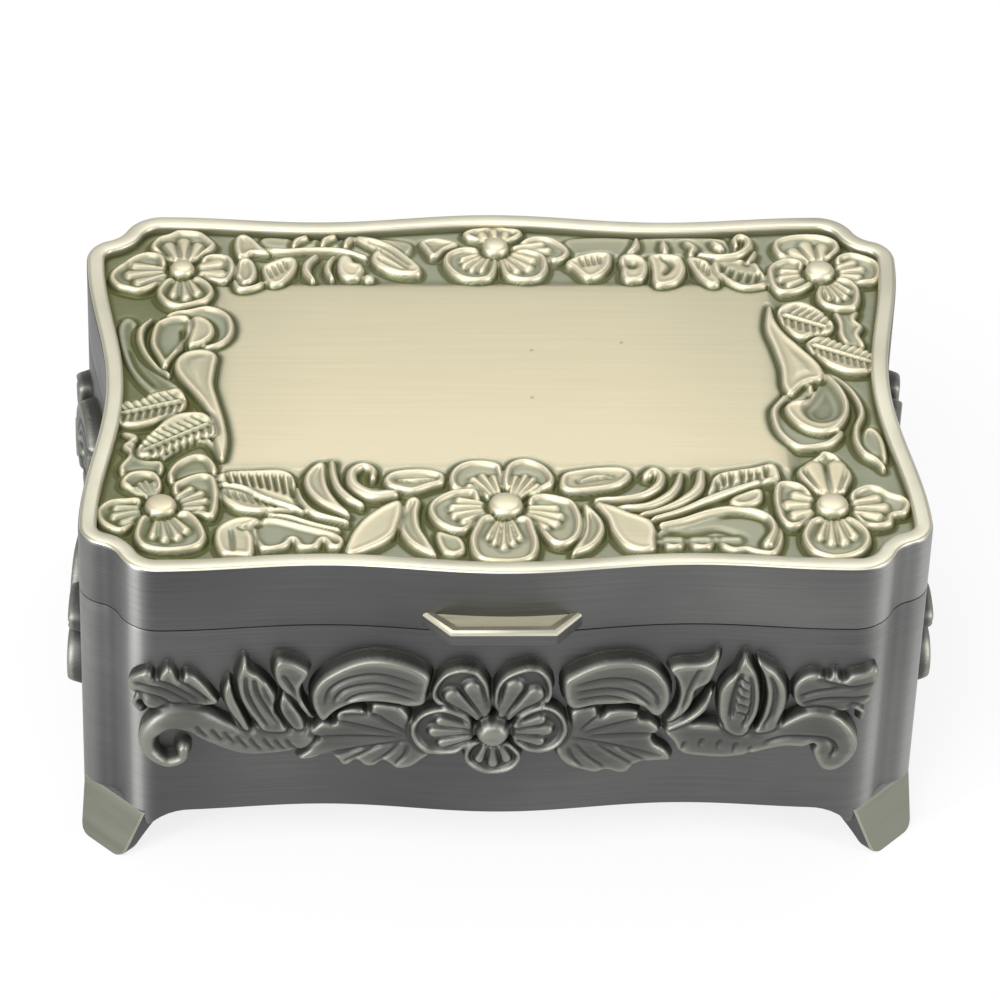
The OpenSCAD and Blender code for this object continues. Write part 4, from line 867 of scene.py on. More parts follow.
# Lid
def build_lid_top():
    """The carved top of the lid, up to the rim, with its patina, and painted light and shade."""
    r = lid_field()
    keep = inner_gap(r.x, r.y, RIM_W - 0.7) > 0
    beside_rim = np.clip(inner_gap(r.x, r.y, RIM_W), 0, 3)
    wear_and_painted_light = r.wear_and_painted_light(1.1, 0.16, 0.45) - 0.32 * np.exp(-(beside_rim / 0.5) ** 2)
    # lighter towards the back, and painted shade that darkens the left end
    wear_and_painted_light += 0.07 * smoothstep(18, 26, r.y) - 0.17 * smoothstep(28, 44, -r.x)
    # the panel where no ornament lies on it: painted light, brightest at the front, with painted shade
    # falling off to the back, the sides and the edge by the ornament; the specks are dark marks
    over = r.h - r.plain
    near_edge = np.minimum(PANEL_W / 2 - np.abs(r.x), PANEL_D / 2 - np.abs(r.y - PANEL_BACK))
    plain = (near_edge > -0.6) & (np.abs(over) < 0.03) & (np.hypot(*np.gradient(over, RELIEF_STEP)) < 0.06)
    plain = blurred(plain.astype(float), 1.2)
    panel_light_and_specks = 0.82 + 0.06 * np.clip(-r.y / 18, -1, 1) - 0.05 * smoothstep(14, 33, r.x)
    panel_light_and_specks -= 0.04 * smoothstep(20, 33, -r.x) + 0.12 * np.exp(-(np.maximum(near_edge, 0) / 1.6) ** 2)
    for x, y in PANEL_SPECKS:
        panel_light_and_specks -= 0.5 * np.exp(-((r.x - x) ** 2 + (r.y - y) ** 2) / 0.03)
    wear_and_painted_light += plain * (panel_light_and_specks - wear_and_painted_light)
    points = np.stack([r.x, r.y, GROUND_Z + r.h], -1)
    obj = relief_sheet("lid_relief_carved", points, keep, "lid", LID_ANTIQUE_LIT, wear_and_painted_light)
    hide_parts("lid_relief")


def painted_ridge_light(base, tilt):
    """Painted light along the outline: painted highlights on the ridges of the bulges, less in the notch
    between them and least in its middle.
    """
    x, y = OUTLINE.T
    facing = np.degrees(np.arctan2(np.abs(OUTLINE_N[:, 0]), np.abs(OUTLINE_N[:, 1])))
    towards = lambda c: np.hypot(np.abs(x) - c[0], np.abs(y) - c[1])
    front = np.abs(towards(FRONT_BULGE) - FRONT_BULGE_R) < 0.05
    side = (np.abs(towards(SIDE_BULGE) - SIDE_BULGE_R) < 0.05) & ~front
    notch = (np.abs(towards(NOTCH) - NOTCH_R) < 0.05) & ~front & ~side
    left, right = x < 0, x > 0
    turn = np.arctan2(np.abs(y) - NOTCH[1], np.abs(x) - NOTCH[0]) % (2 * math.pi)
    ends = np.array([TURN_SIDE, TURN_FRONT]) + math.pi
    off_middle = np.abs(turn - ends.mean()) / abs(ends[1] - ends[0]) * 2
    # painted light: the front half lighter towards the right
    wear_and_painted_light = base + tilt * x / 40 * (y < 0)
    # painted highlights on the front bulges, by the way each faces: narrow and strong on the left, broad and
    # weak on the right
    on_left = 0.72 * np.exp(-((facing - 32) / 12.0) ** 2) + 0.14 * smoothstep(30, 45, facing)
    on_right = 0.4 * np.exp(-((facing - 44) / 19.0) ** 2)
    wear_and_painted_light = wear_and_painted_light + front * (left * on_left + right * on_right)
    # painted highlights on the side bulges and towards the ends of the notch
    wear_and_painted_light = wear_and_painted_light + side * 0.36 * smoothstep(10, 50, facing) + notch * 0.26 * np.clip(off_middle, 0, 1) ** 1.5
    kernel = np.array([1, 3, 4, 3, 1]) / 12.0
    return sum(w * np.roll(wear_and_painted_light, k - 2) for k, w in enumerate(kernel))


def build_lid_shell():
    """The lid's skirt and rim, from its inner edge round the outside to the foot of the rim's inner side."""
    rim_r = 0.6
    levels = [(WALL, LID_UNDER), (WALL, LID_BOTTOM + 0.25), (WALL - 0.15, LID_BOTTOM), (0.2, LID_BOTTOM),
              (0.03, LID_BOTTOM + 0.04), (0, LID_BOTTOM + 0.15), (0, 40), (0, 43), (0, BOX_H - rim_r)]
    for a in np.radians(np.linspace(0, 90, 6)[1:]):
        levels.append((rim_r * (1 - math.cos(a)), BOX_H - rim_r * (1 - math.sin(a))))
    levels += [(RIM_W - 0.4, BOX_H), (RIM_W - 0.15, BOX_H - 0.07)]
    inner = [(RIM_W, BOX_H - 0.28), (RIM_W + 0.03, GROUND_Z + 0.5), (RIM_W + 0.06, GROUND_Z - 0.6)]
    inner_wear = np.repeat([0.85, 0.3, 0.0], len(OUTLINE))
    # painted highlights on the ridges of the skirt's corner bulges, and painted light towards the right of
    # its front
    wear_and_painted_light = np.concatenate([np.tile(painted_ridge_light(0.36, 0.07), len(levels)), inner_wear, [0.3, 0.3]])
    # the rim, in the lit cream copy (painted light), starts at the second step of its rounded edge, and
    # darkens on its inner side
    rim, dark = 10 * len(OUTLINE), len(levels) * len(OUTLINE)
    rings = [level(inset, z) for inset, z in levels + inner]
    verts, faces = capped(rings, [0, 0, LID_UNDER], [0, 0, GROUND_Z - 0.6])
    obj = add_object("lid_shell_cast", verts, faces, "lid", wear_and_painted_light=wear_and_painted_light)
    for material in (CAST_SHADED, RIM_LIT, LID_ANTIQUE_LIT):
        obj.data.materials.append(material)
    for i, p in enumerate(obj.data.polygons):
        p.material_index = 2 if i >= dark else 1 if i >= rim else 0
    sharpen(obj, 40)
    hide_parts("lid_shell")


# Body
def apron_height(x, y):
    """Height of the wall's lower edge at a point of the outline."""
    def arch(d, flat):
        u = np.clip(np.abs(d) - flat, 0, APRON_R)
        return APRON_H - APRON_R + np.sqrt(APRON_R ** 2 - u ** 2)
    edge = np.maximum(np.maximum(arch(x, APRON_X), arch(y, APRON_Y)), SKIRT_H)
    shift = foot_frame()[1]
    across = (np.abs(y) - np.abs(x)) / math.sqrt(2) - shift
    top_half, low_half = foot_half(FOOT_H), foot_half(SKIRT_H)
    return edge + (FOOT_H - 0.04 - edge) * smoothstep(top_half + 0.2, low_half, np.abs(across))


def build_body_shell():
    """The four walls, from the upper edge down the outside, under the apron and up the inside."""
    foot = apron_height(*OUTLINE.T)
    bevel, top = 0.2, BODY_TOP - 0.15
    rows = [level(WALL - 0.1, BODY_TOP), level(0.2, BODY_TOP), level(0.03, BODY_TOP - 0.04), level(0, top)]
    rows += [level(0, top * (1 - k) + (foot + bevel) * k) for k in np.linspace(0, 1, 9)[1:]]
    rows += [level(bevel, foot), level(WALL - bevel, foot), level(WALL, foot + bevel),
             level(WALL, BODY_TOP - 0.1)]
    verts = np.vstack(rows)
    faces = grid_faces(len(rows) + 1, len(OUTLINE), closed=True) % len(verts)
    # painted highlights on the ridges of the corner bulges, on the shaded cast copy of the metal
    wear_and_painted_light = np.tile(painted_ridge_light(0.3, 0.0), len(rows))
    obj = add_object("body_shell_cast", verts, faces[:, ::-1].tolist(), "box", wear_and_painted_light=wear_and_painted_light)
    obj.data.materials.append(CAST_SHADED)
    sharpen(obj, 40)
    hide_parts("body_shell")


def foot_frame():
    """Distance of the foot's face from the middle across the corner, and its shift along it."""
    root2 = math.sqrt(2)
    reach = min(sum(SIDE_BULGE) / root2 + SIDE_BULGE_R, sum(FRONT_BULGE) / root2 + FRONT_BULGE_R)
    shift = ((SIDE_BULGE[1] - SIDE_BULGE[0]) + (FRONT_BULGE[1] - FRONT_BULGE[0])) / (2 * root2)
    return reach - FOOT_INSET, shift


def foot_half(z):
    """Half the width of the foot's face, with the toe's corners rounded off."""
    round_off = TOE_ROUND - math.sqrt(TOE_ROUND ** 2 - max(TOE_ROUND - z, 0) ** 2)
    half = (FOOT_TOE_W + (FOOT_TOP_W - FOOT_TOE_W) * z / FOOT_H) / 2
    return half + TOE_WIDER - (TOE_WIDER - TOP_WIDER) * min(z / FOOT_H, 1) - round_off


def build_foot(name, sx, sy):
    """A flared foot across a corner. Above its face it slopes back into the wall."""
    face, shift = foot_frame()
    root2, bevel = math.sqrt(2), 0.25
    heights = np.concatenate([[0, 0.1, 0.25, 0.45], np.linspace(0.7, FOOT_H, 14),
                              [FOOT_H + 0.5, FOOT_H + 1.4]])
    rows = []
    for z in heights:
        k = min(z / FOOT_H, 1)
        half = foot_half(z)
        out = face + FACE_OUT + (FOOT_FLARE - FACE_OUT) * (1 - k) - 0.9 * max(z - FOOT_H, 0)
        inn = out - (TOE_THICK + (FOOT_ROOT + FACE_OUT - TOE_THICK) * k ** 1.6)
        ring = [(inn, -half), (out - bevel, -half), (out, bevel - half), (out, half - bevel),
                (out - bevel, half), (inn, half)]
        rows.append([((n - shift - t) / root2, (n + shift + t) / root2, z) for n, t in ring])
    verts = np.array(rows).reshape(-1, 3) * [sx, sy, 1]
    faces = grid_faces(len(rows), 6, closed=True).tolist()
    faces += [list(range(5, -1, -1)), list(range(len(verts) - 6, len(verts)))]
    if sx * sy < 0:
        faces = [f[::-1] for f in faces]
    # painted shade: the sides and the slope above the face take the dark cast copy, a little lighter above
    # the face
    wear_and_painted_light = np.where(verts[:, 2] > FOOT_H - 0.01, 0.26, 0.12)
    obj = add_object(name + "_cast", verts, faces, "box", wear_and_painted_light=wear_and_painted_light)
    for material in (FOOT_LIT, CAST_SHADED, FOOT_EDGE_HIGHLIGHT):
        obj.data.materials.append(material)
    # the face in the lighter copy (painted light, as it tilts up), the bevels in painted highlight, the sides
    # and the slope above in painted shade
    for p in obj.data.polygons:
        flat = (p.normal.x * sx + p.normal.y * sy) / root2
        above = p.center.z > FOOT_H * MM
        p.material_index = 1 if above or flat < 0.4 else 0 if flat > 0.85 else 2
    sharpen(obj, 30)
    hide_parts(name)


# Wall reliefs
def wall_front(x):
    """Distance of the front wall at x from the middle, the corner bulge included."""
    a = np.abs(x)
    bulge = FRONT_BULGE[1] + np.sqrt(np.maximum(FRONT_BULGE_R ** 2 - (a - FRONT_END) ** 2, 0))
    return np.where(a > FRONT_END, bulge, front_y(np.minimum(a, FRONT_END)))


def wall_side(y):
    """Distance of the side wall at y from the middle, the corner bulge included."""
    a = np.abs(y)
    bulge = SIDE_BULGE[0] + np.sqrt(np.maximum(SIDE_BULGE_R ** 2 - (a - SIDE_END) ** 2, 0))
    return np.where(a > SIDE_END, bulge, side_x(np.minimum(a, SIDE_END)))


def on_wall(r, depth, turn):
    """Points of a wall relief: depth gives the wall, turn maps (across, out) to (x, y)."""
    d = depth(r.x)
    slope = np.gradient(d, RELIEF_STEP, axis=1)
    n = np.stack([-slope, np.ones_like(slope)], -1)
    n /= np.linalg.norm(n, axis=-1, keepdims=True)
    across = r.x + r.h * n[..., 0]
    out = d + r.h * n[..., 1]
    x, y = turn(across, out)
    return np.stack([x, y, r.y], -1)


def long_field(drop):
    """The front wall's pattern over (x, z); the back wall has the same, lower by drop."""
    r = Relief(-46, 46, 9.5 + drop, 34.6 + drop, ground=-0.12, flank=0.75, grow=0.05)
    # left end leaves
    r.plate([(-44.4, 27.6), (-44.8, 29.2), (-44.2, 30.6), (-43, 31.6), (-42.2, 31.4), (-41.8, 30.4),
             (-41.3, 31.5), (-40.5, 32.4), (-39.7, 31.9), (-39, 30.3), (-38.4, 31.3), (-37.2, 30.9),
             (-36.1, 29.6), (-35, 27.8), (-34.2, 26.2), (-36, 25.8), (-38.6, 25.8), (-41, 25.4),
             (-42.6, 25.6), (-43.6, 26.6)], 1.6, 0.12)
    for line in ([(-43.8, 29.4), (-41, 28.6), (-38, 26.6)], [(-42.2, 30.4), (-40, 29.2), (-36.6, 26.6)],
                 [(-39.2, 30.2), (-37.6, 28.6), (-35.6, 26.6)], [(-43.6, 28), (-41.6, 27.4), (-40, 26.2)]):
        r.groove(line, 0.6, 0.6)
    r.stroke([(-43.5, 27.4), (-43.9, 26), (-43.3, 24.6)], [0.6, 0.9, 0.5], 1.5)
    # left scroll with its curl
    r.stroke([(-24.4, 20.2), (-27.6, 20), (-31, 20), (-34.4, 21.6), (-37.4, 23.7), (-40.4, 24), (-42.5, 21.8),
            (-42.5, 18.9), (-40.8, 17.2), (-38.9, 17.8), (-38.7, 19.4)],
           [4.4, 5.2, 5, 4.6, 4.6, 3.9, 2.5, 1.9, 1.8, 1.9, 2.1], 2.1)
    for k, (x, z) in enumerate(((-37.2, 23.4), (-35.4, 22.8), (-33.9, 22.2), (-32.4, 21.4), (-30.8, 20.9),
                                (-29.2, 20.8), (-27.8, 20.6), (-26.4, 20.5))):
        r.groove([(x, z), (x + 0.5, z - 1.1), (x + 1.4, z - 2.1)], 0.5, 0.55)
    # left upright leaves
    r.plate([(-33.1, 30), (-34, 28.6), (-33.9, 26.4), (-33, 24.2), (-31.6, 22), (-30.6, 22), (-31.4, 24.6),
             (-32.2, 27), (-32.7, 29)], 1.9, 0.15)
    r.plate([(-31.3, 33.4), (-32.3, 31.2), (-32.4, 29), (-31.8, 26.4), (-30.4, 23.6), (-29.2, 21.8),
             (-26, 21.6), (-26.8, 23.4), (-27.5, 25), (-27.4, 27.2), (-28.2, 29), (-29.4, 30.6),
             (-30.6, 31.7)], 2.2, 0.1)
    r.groove([(-31.3, 31), (-31.1, 28), (-30, 25), (-28.6, 22.4)], 0.5, 0.7)
    r.groove([(-30.3, 30.6), (-29.9, 28), (-28.6, 25), (-27.2, 22.6)], 0.5, 0.7)
    r.groove([(-29.2, 29.6), (-28.8, 27.6), (-27.9, 25.6)], 0.4, 0.45)
    r.plate([(-26.7, 27.7), (-27.4, 26), (-27, 24), (-25.6, 21.8), (-24, 21.8), (-24.2, 23.6), (-25.2, 25.6),
           (-26, 27)], 2.0, 0.15)
    r.plate([(-27.3, 33), (-28, 31.8), (-27.9, 30), (-27.2, 28.3), (-26, 27), (-25.1, 25.6), (-23.8, 23.6),
             (-22.6, 22.8), (-23.2, 24.6), (-24.2, 26.4), (-24.4, 28.4), (-23.5, 30.2), (-23.6, 31.2),
             (-25.4, 32.6)], 2.1, 0.14)
    r.groove([(-26.8, 30.6), (-25.6, 28), (-24.6, 25.6)], 0.5, 0.6)
    # left crescent
    r.plate([(-22.1, 23), (-23.2, 25.2), (-23.4, 27.6), (-22.5, 29.7), (-20.6, 31.4), (-18, 32.9),
             (-15.4, 33.5), (-12.6, 33.2), (-10.3, 32.3), (-8.8, 30.8), (-9, 28.4), (-9.4, 26.6), (-11.2, 26),
             (-13, 26.3), (-15.6, 26.4), (-18, 26), (-20, 24.8), (-21.2, 23.4)], 2.3, 0.1)
    for line in ([(-21.6, 26), (-20.9, 28.4), (-18.4, 30.2), (-14.8, 30.9), (-10.2, 29.8)],
                 [(-20.6, 26.4), (-19, 28.4), (-15, 29.4), (-10.6, 28.4)],
                 [(-19.2, 26.4), (-17.2, 27.6), (-14, 28), (-10.8, 27.2)]):
        r.groove(line, 0.55, 0.6)
    # left broad leaf
    r.plate([(-12.2, 25.5), (-13.4, 25.9), (-15.8, 25.9), (-16.3, 24.3), (-17.2, 24.9), (-18.8, 24.9),
             (-20.3, 24.1), (-20.5, 22.5), (-21.8, 22.8), (-22.9, 22), (-23.3, 20.8), (-22.4, 20),
             (-23.4, 18.6), (-25.1, 16.5), (-23.4, 16.4), (-21.4, 17), (-20.2, 16.5), (-19.6, 15.5),
             (-18.6, 15.5), (-17.6, 16.3), (-16.8, 15.5), (-15.4, 15.5), (-14.2, 16.4), (-12.8, 15.3),
             (-11, 15.7), (-9.6, 17), (-8.4, 18.6), (-9.4, 21), (-10.8, 23.6)], 1.7, 0.08)
    for line in ([(-11, 20.4), (-17, 18.6), (-24.4, 16.9)], [(-11.4, 21.4), (-14, 23), (-15.9, 24.4)],
                 [(-11.6, 20.9), (-16.6, 22), (-20.2, 22.9)], [(-12, 20.6), (-17.6, 20.4), (-22.6, 20.2)],
                 [(-14.6, 23.8), (-17.4, 23.9), (-19.6, 23.9)],
                 [(-12.4, 19.8), (-13.8, 17.8), (-15.8, 16.2)], [(-14.8, 19.2), (-17, 17.6), (-19.4, 16.2)],
                 [(-11.4, 19.6), (-11.8, 17.8), (-13, 16.2)], [(-17, 18.6), (-19, 17.6), (-21.2, 17.2)]):
        r.groove(line, 0.45, 0.5)
    # right end leaves
    r.plate([(34.4, 28.2), (35, 29.8), (36.2, 30.8), (37.6, 31), (38.5, 30.2), (39.2, 31.2), (39.9, 31),
             (40.5, 30), (41.4, 30.9), (43, 31.2), (44.1, 31.6), (44.5, 30), (44.2, 27.4), (43.2, 25.6),
             (41, 24.8), (37, 24.8), (34.9, 26)], 1.6, 0.12)
    for line in ([(35.6, 27.2), (38.4, 28.2), (43.8, 29)], [(37.4, 30), (39.6, 29.2), (41, 29)],
                 [(36, 26), (39, 26.8), (43.6, 27)]):
        r.groove(line, 0.6, 0.6)
    r.stroke([(41.9, 25.7), (42.9, 24.6), (42.8, 23.2)], [0.6, 0.9, 0.5], 1.6)
    # right scroll
    r.plate([(19, 21.6), (22, 22.6), (28, 22.4), (32, 22.4), (34.2, 23.8), (36, 25), (38, 25.3), (40.2, 24.7),
             (41.8, 23), (42.7, 20.7), (42.7, 18.6), (41.8, 16.6), (40.3, 15.5), (38.8, 15.7), (37.9, 17),
             (37.4, 18.6), (37.6, 19.8), (36.4, 19.2), (34.4, 19.2), (32.4, 18.6), (30, 17.6), (27, 16.9),
             (23, 17.1), (21.2, 17.8), (20.2, 19.6)], 2.1, 0.1)
    r.groove([(31.6, 19.8), (34, 20.8), (36.8, 20.9), (39.2, 20.6), (40.2, 19.2), (39.6, 17.8)], 0.7, 0.7)
    for x, z in ((22, 19.6), (24.2, 20.2), (26.4, 20), (28.4, 19.6), (30.2, 19.2)):
        r.groove([(x, z), (x - 0.4, z - 1.4)], 0.45, 0.45)
    # right leaves
    r.plate([(19.4, 31), (20.8, 31.9), (23.8, 32.2), (25.3, 33.8), (25.8, 32.8), (25.4, 30.6), (24.7, 28.8),
             (23.2, 27.6), (22.9, 26), (22.3, 24.4), (21, 22.6), (19.2, 22), (20.4, 24.6), (20.8, 27),
             (20.4, 29.2)], 1.9, 0.1)
    r.groove([(23.4, 31.2), (22.4, 28.4), (21.4, 24.6)], 0.6, 0.5)
    r.stroke([(19.8, 21.6), (22.4, 23.2), (24, 25), (24.9, 27.5)], [0.8, 1.4, 1.6, 0.7], 2.1)
    r.plate([(30, 32.8), (31.6, 32.1), (33, 30.7), (34, 28.6), (34.2, 26.4), (33.8, 24.4), (32.8, 22),
             (30.4, 21.4), (31, 24), (31.4, 27), (31, 30)], 2.1, 0.14)
    r.groove([(31.8, 30.8), (32.6, 28), (32.4, 24.6), (31.4, 22.4)], 0.5, 0.6)
    r.plate([(28.7, 33.6), (27.9, 32.4), (27.5, 30.8), (26.5, 29.7), (25.7, 28), (25.6, 26), (25.8, 23.8),
             (26.6, 22), (27.8, 21), (29.2, 21), (30.2, 22.6), (30.8, 24.4), (31, 26.6), (30.8, 29),
             (30.3, 31), (29.4, 32.6)], 2.3, 0.1)
    r.groove([(28.4, 31.2), (28, 28.6), (27.6, 26), (27.4, 23.6)], 0.9, 0.7)
    r.groove([(29.5, 30.8), (29.9, 28), (29.8, 25), (28.9, 22.4)], 0.5, 0.7)
    for k in range(5):
        r.groove([(28.2, 29.8 - 1.3 * k), (29.4, 29.2 - 1.3 * k)], 0.5, 0.6)
    # right crescent
    r.plate([(6.6, 30.4), (8.2, 31.9), (10.6, 33), (13.2, 33.3), (15.6, 33), (17.9, 31.6), (19.4, 29.5),
             (20, 27.4), (19.8, 25.4), (18.7, 23.8), (17.5, 24.1), (16.6, 25.2), (15.3, 25.9), (13, 26.1),
             (10.6, 26.2), (8.4, 25.8), (7, 26.8)], 2.3, 0.1)
    for line in ([(8, 29.8), (12, 30.4), (15.4, 29.6), (17.8, 27.4), (18.4, 25.4)],
                 [(8.2, 28.6), (12, 28.8), (15, 27.8), (17.4, 25.8)], [(8.4, 27.4), (12, 27.5), (15, 26.6)]):
        r.groove(line, 0.55, 0.6)
    # right broad leaf
    r.plate([(7.8, 25.2), (9.6, 25.9), (10.9, 25.7), (11.5, 24.1), (12.4, 24.8), (14.2, 25), (16.1, 24.5),
             (16.4, 23.3), (17.7, 22.9), (18.8, 21.8), (18.9, 20.9), (18.1, 20.2), (18.6, 19), (19.9, 17.9),
             (20.6, 16.1), (19.2, 16), (17, 15.9), (16, 15.6), (15.2, 14.5), (13.8, 14.4), (12.4, 15),
             (11, 14.7), (9.6, 15.2), (7.8, 16.1), (6.5, 17.6), (6, 19.4), (7, 21), (7.4, 23)], 1.7, 0.08)
    for line in ([(8, 21), (13, 19.2), (19.8, 16.7)], [(9, 22), (10.4, 23.4), (11.3, 24.4)],
                 [(9.4, 21.6), (13.4, 22.6), (16.2, 23.2)], [(10, 21), (14.6, 20.8), (18.4, 20.6)],
                 [(8.4, 20), (10, 17.6), (12.2, 15.6)], [(7.6, 19.4), (8.2, 17.6), (9.6, 15.9)],
                 [(11, 19.6), (13.2, 17.6), (15.7, 15.8)], [(13.6, 18.8), (15.4, 17.4), (17.2, 16.4)]):
        r.groove(line, 0.45, 0.5)
    # flower
    c = (-1.4, 22.7)
    r.petal([(-1.4, 26), (-1.7, 29), (-2.3, 30.8), (-3.5, 32.4), (-5.4, 32.7), (-7.3, 31.8), (-8.5, 30),
             (-8.9, 28.1), (-8.3, 26.7), (-6.6, 25.6), (-4, 24.8), (-2.4, 24.8)], c, 2, 2.3)
    r.petal([(-1.3, 26), (-1.5, 29), (-0.8, 31), (0.4, 32.2), (2.4, 33), (3.9, 32.7), (5.2, 31.2),
             (5.7, 29.2), (5.4, 27.4), (4.2, 26.2), (2.4, 25.2), (0.4, 25)], c, 2, 2.3)
    r.petal([(-7.6, 26.2), (-9.7, 25.3), (-10.9, 23.7), (-11.2, 21.8), (-10.5, 19.9), (-9.2, 18.7),
             (-7.4, 18.4), (-5.2, 18.9), (-3.8, 20.4), (-3.4, 22.4), (-4, 24.6), (-5.8, 25.9)], c, 3, 2.3)
    r.petal([(4.4, 26.8), (6.1, 26), (7.3, 24.3), (7.6, 22.4), (7, 20.5), (5.7, 19.2), (4, 18.9), (2.2, 19.4),
           (0.9, 20.8), (0.6, 22.6), (1.2, 24.8), (2.6, 26.2)], c, 3, 2.3)
    r.petal([(-3.6, 21), (-4.7, 19.4), (-4.8, 17.8), (-4, 16.5), (-2.4, 15.6), (-0.8, 15.5), (0.9, 16),
             (2, 17.3), (2.2, 18.7), (1.4, 20), (0.2, 21), (-1.6, 21.2)], c, 3, 2.2)
    r.boss(c, 2.1, 3.1)
    r.finish(0.16)
    r.y -= drop
    return r


def short_field():
    """A side wall's pattern over (across, z): the front's flower between crescents, leaves and scrolls."""
    r = Relief(-25.5, 25.5, 9.5, 35, ground=-0.12, flank=0.75, grow=0.05)
    for s in (-1, 1):
        side = lambda points: [(s * x, z) for x, z in points]
        r.plate(side([(14.6, 22.6), (17.4, 24.6), (19.8, 25.2), (22.2, 24.2), (23.6, 21.8), (23.4, 19.2),
                      (21.8, 17.6), (20.2, 18.2), (19.6, 19.8), (17.4, 19), (15.4, 17.8)]), 2.1, 0.1)
        r.groove(side([(16.4, 20.6), (19, 21.6), (21.4, 21), (21.6, 19.2)]), 0.7, 0.7)
        r.plate(side([(18.6, 31), (20, 31.6), (22.4, 30.8), (24, 29.4), (23.4, 27.2), (21, 26.2),
                      (18.8, 26.6), (18.4, 28.8)]), 1.8, 0.12)
        r.groove(side([(19.6, 28), (21.4, 28.8), (23.4, 28.6)]), 0.6, 0.6)
        r.plate(side([(5.8, 30.4), (7.4, 32), (9.6, 33), (12.2, 33.2), (14.8, 32.6), (16.8, 30.8),
                      (18.2, 28.4), (18.4, 25.8), (17.2, 23.8), (16, 24.6), (14.6, 25.8), (12, 26.2),
                      (9, 26.2), (6.6, 26.4)]), 2.3, 0.1)
        for line in ([(7.4, 29.8), (11.4, 30.4), (14.6, 29.4), (17, 26)],
                     [(7.6, 28.4), (11.4, 28.8), (14.4, 27.6), (16, 26)],
                     [(7.8, 27.3), (11.2, 27.4), (14, 26.6)]):
            r.groove(side(line), 0.55, 0.6)
        r.plate(side([(6.6, 25), (9.4, 25.8), (10.4, 24.2), (12.8, 24.9), (14.8, 23.6), (15.4, 22.2),
                      (16.9, 21), (16.4, 19.8), (18.4, 17), (16.6, 16.3), (15, 16.4), (14, 15), (12.2, 15.3),
                      (10.6, 14.6), (8.4, 15.8), (6.4, 17.6), (6, 20.6)]), 1.7, 0.08)
        for line in ([(7.4, 21), (12, 19.2), (17.8, 17)], [(8.4, 21.8), (12, 22.8), (14.6, 23)],
                     [(8.8, 21), (12.6, 20.8), (16.2, 20.6)], [(7.8, 20), (9.2, 17.8), (10.6, 15.8)],
                     [(10.2, 19.4), (12.2, 17.6), (13.8, 16)]):
            r.groove(side(line), 0.45, 0.5)
    c = (0, FLOWER_Z)
    for a in (126, 54, 198, 342, 270):
        shape = [(2.2, -1.5), (4, -2.9), (6.4, -3.9), (8.6, -3.3), (9.9, -1.4), (10.1, 1), (9, 3), (6.8, 3.9),
                 (4.2, 3.1), (2.2, 1.5)]
        ca, sa = math.cos(math.radians(a)), math.sin(math.radians(a))
        pts = [(c[0] + u * ca - v * sa, c[1] + u * sa + v * ca) for u, v in shape]
        r.petal(pts, c, 3, 2.4, boss_r=2.4)
    r.boss(c, 2.1, 3.1)
    r.finish(0.16)
    return r


def wall_relief(name, node, r, depth, turn, free=True):
    """The ornament of a wall with a narrow strip of its ground, where the samples are free."""
    keep = r.h > r.floor + 0.002
    grown = keep.copy()
    for axis in (0, 1):
        for step in (-2, -1, 1, 2):
            grown |= np.roll(keep, step, axis)
    r.h = np.maximum(r.h, r.floor)
    points = on_wall(r, depth, turn)
    obj = relief_sheet(name, points, grown & free, "box", WALL_ANTIQUE_SHADED, r.wear_and_painted_light(2.0, 0.0))
    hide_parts(node)


def build_wall_reliefs():
    back = long_field(BACK_DROP)
    clear = (np.abs(back.x) >= SEAT_HALF) | (back.y <= PARTING_Z - SEAT_REACH)
    wall_relief("front_relief_carved", "front_relief", long_field(0), wall_front, lambda a, o: (a, -o))
    wall_relief("back_relief_carved", "back_relief", back, wall_front, lambda a, o: (-a, o), clear)
    wall_relief("right_relief_carved", "right_relief", short_field(), wall_side, lambda a, o: (o, a))
    wall_relief("left_relief_carved", "left_relief", short_field(), wall_side, lambda a, o: (-o, -a))


# Tab
def build_tab():
    """The lifting tab: a wedge with an edge in painted highlight round a shallow tray in painted light, its
    front and ends in painted shade.
    """
    lo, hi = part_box("front_tab")
    z0, z1 = lo[2] / MM, hi[2] / MM
    root, reach, root_half, tip_half, shift = BOX_D / 2 + FRONT_SWELL, 3.0, 10, 6.3, -0.6
    back, tip = 1.2 - root, -root - reach
    corners = [(-root_half, back), (-tip_half, tip), (tip_half, tip), (root_half, back)]
    levels = [(0.2, z0), (0, z0 + 0.2), (0, z1 - 0.55), (0.12, z1 - 0.2), (0.4, z1), (1.1, z1),
              (1.2, z1 - 0.12)]
    rows = [[(x * (1 - inset / 9) + shift, y + (inset if k in (1, 2) else 0), z)
             for k, (x, y) in enumerate(corners)] for inset, z in levels]
    verts = np.array(rows).reshape(-1, 3)
    last = len(verts)
    faces = grid_faces(len(rows), 4, closed=True).tolist() + [[3, 2, 1, 0], list(range(last - 4, last))]
    obj = add_object("lifting_tab", verts, faces, "lid")
    for material in (PEWTER_SHADED, RIM_LIT, TAB_TOP_LIT):
        obj.data.materials.append(material)
    # four faces to a row: the edge runs from the third row to the sixth, and the last face is the tray
    for i, p in enumerate(obj.data.polygons):
        p.material_index = 2 if i == len(faces) - 1 else 1 if 8 <= i < 24 else 0
    sharpen(obj, 30)
    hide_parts("front_tab")


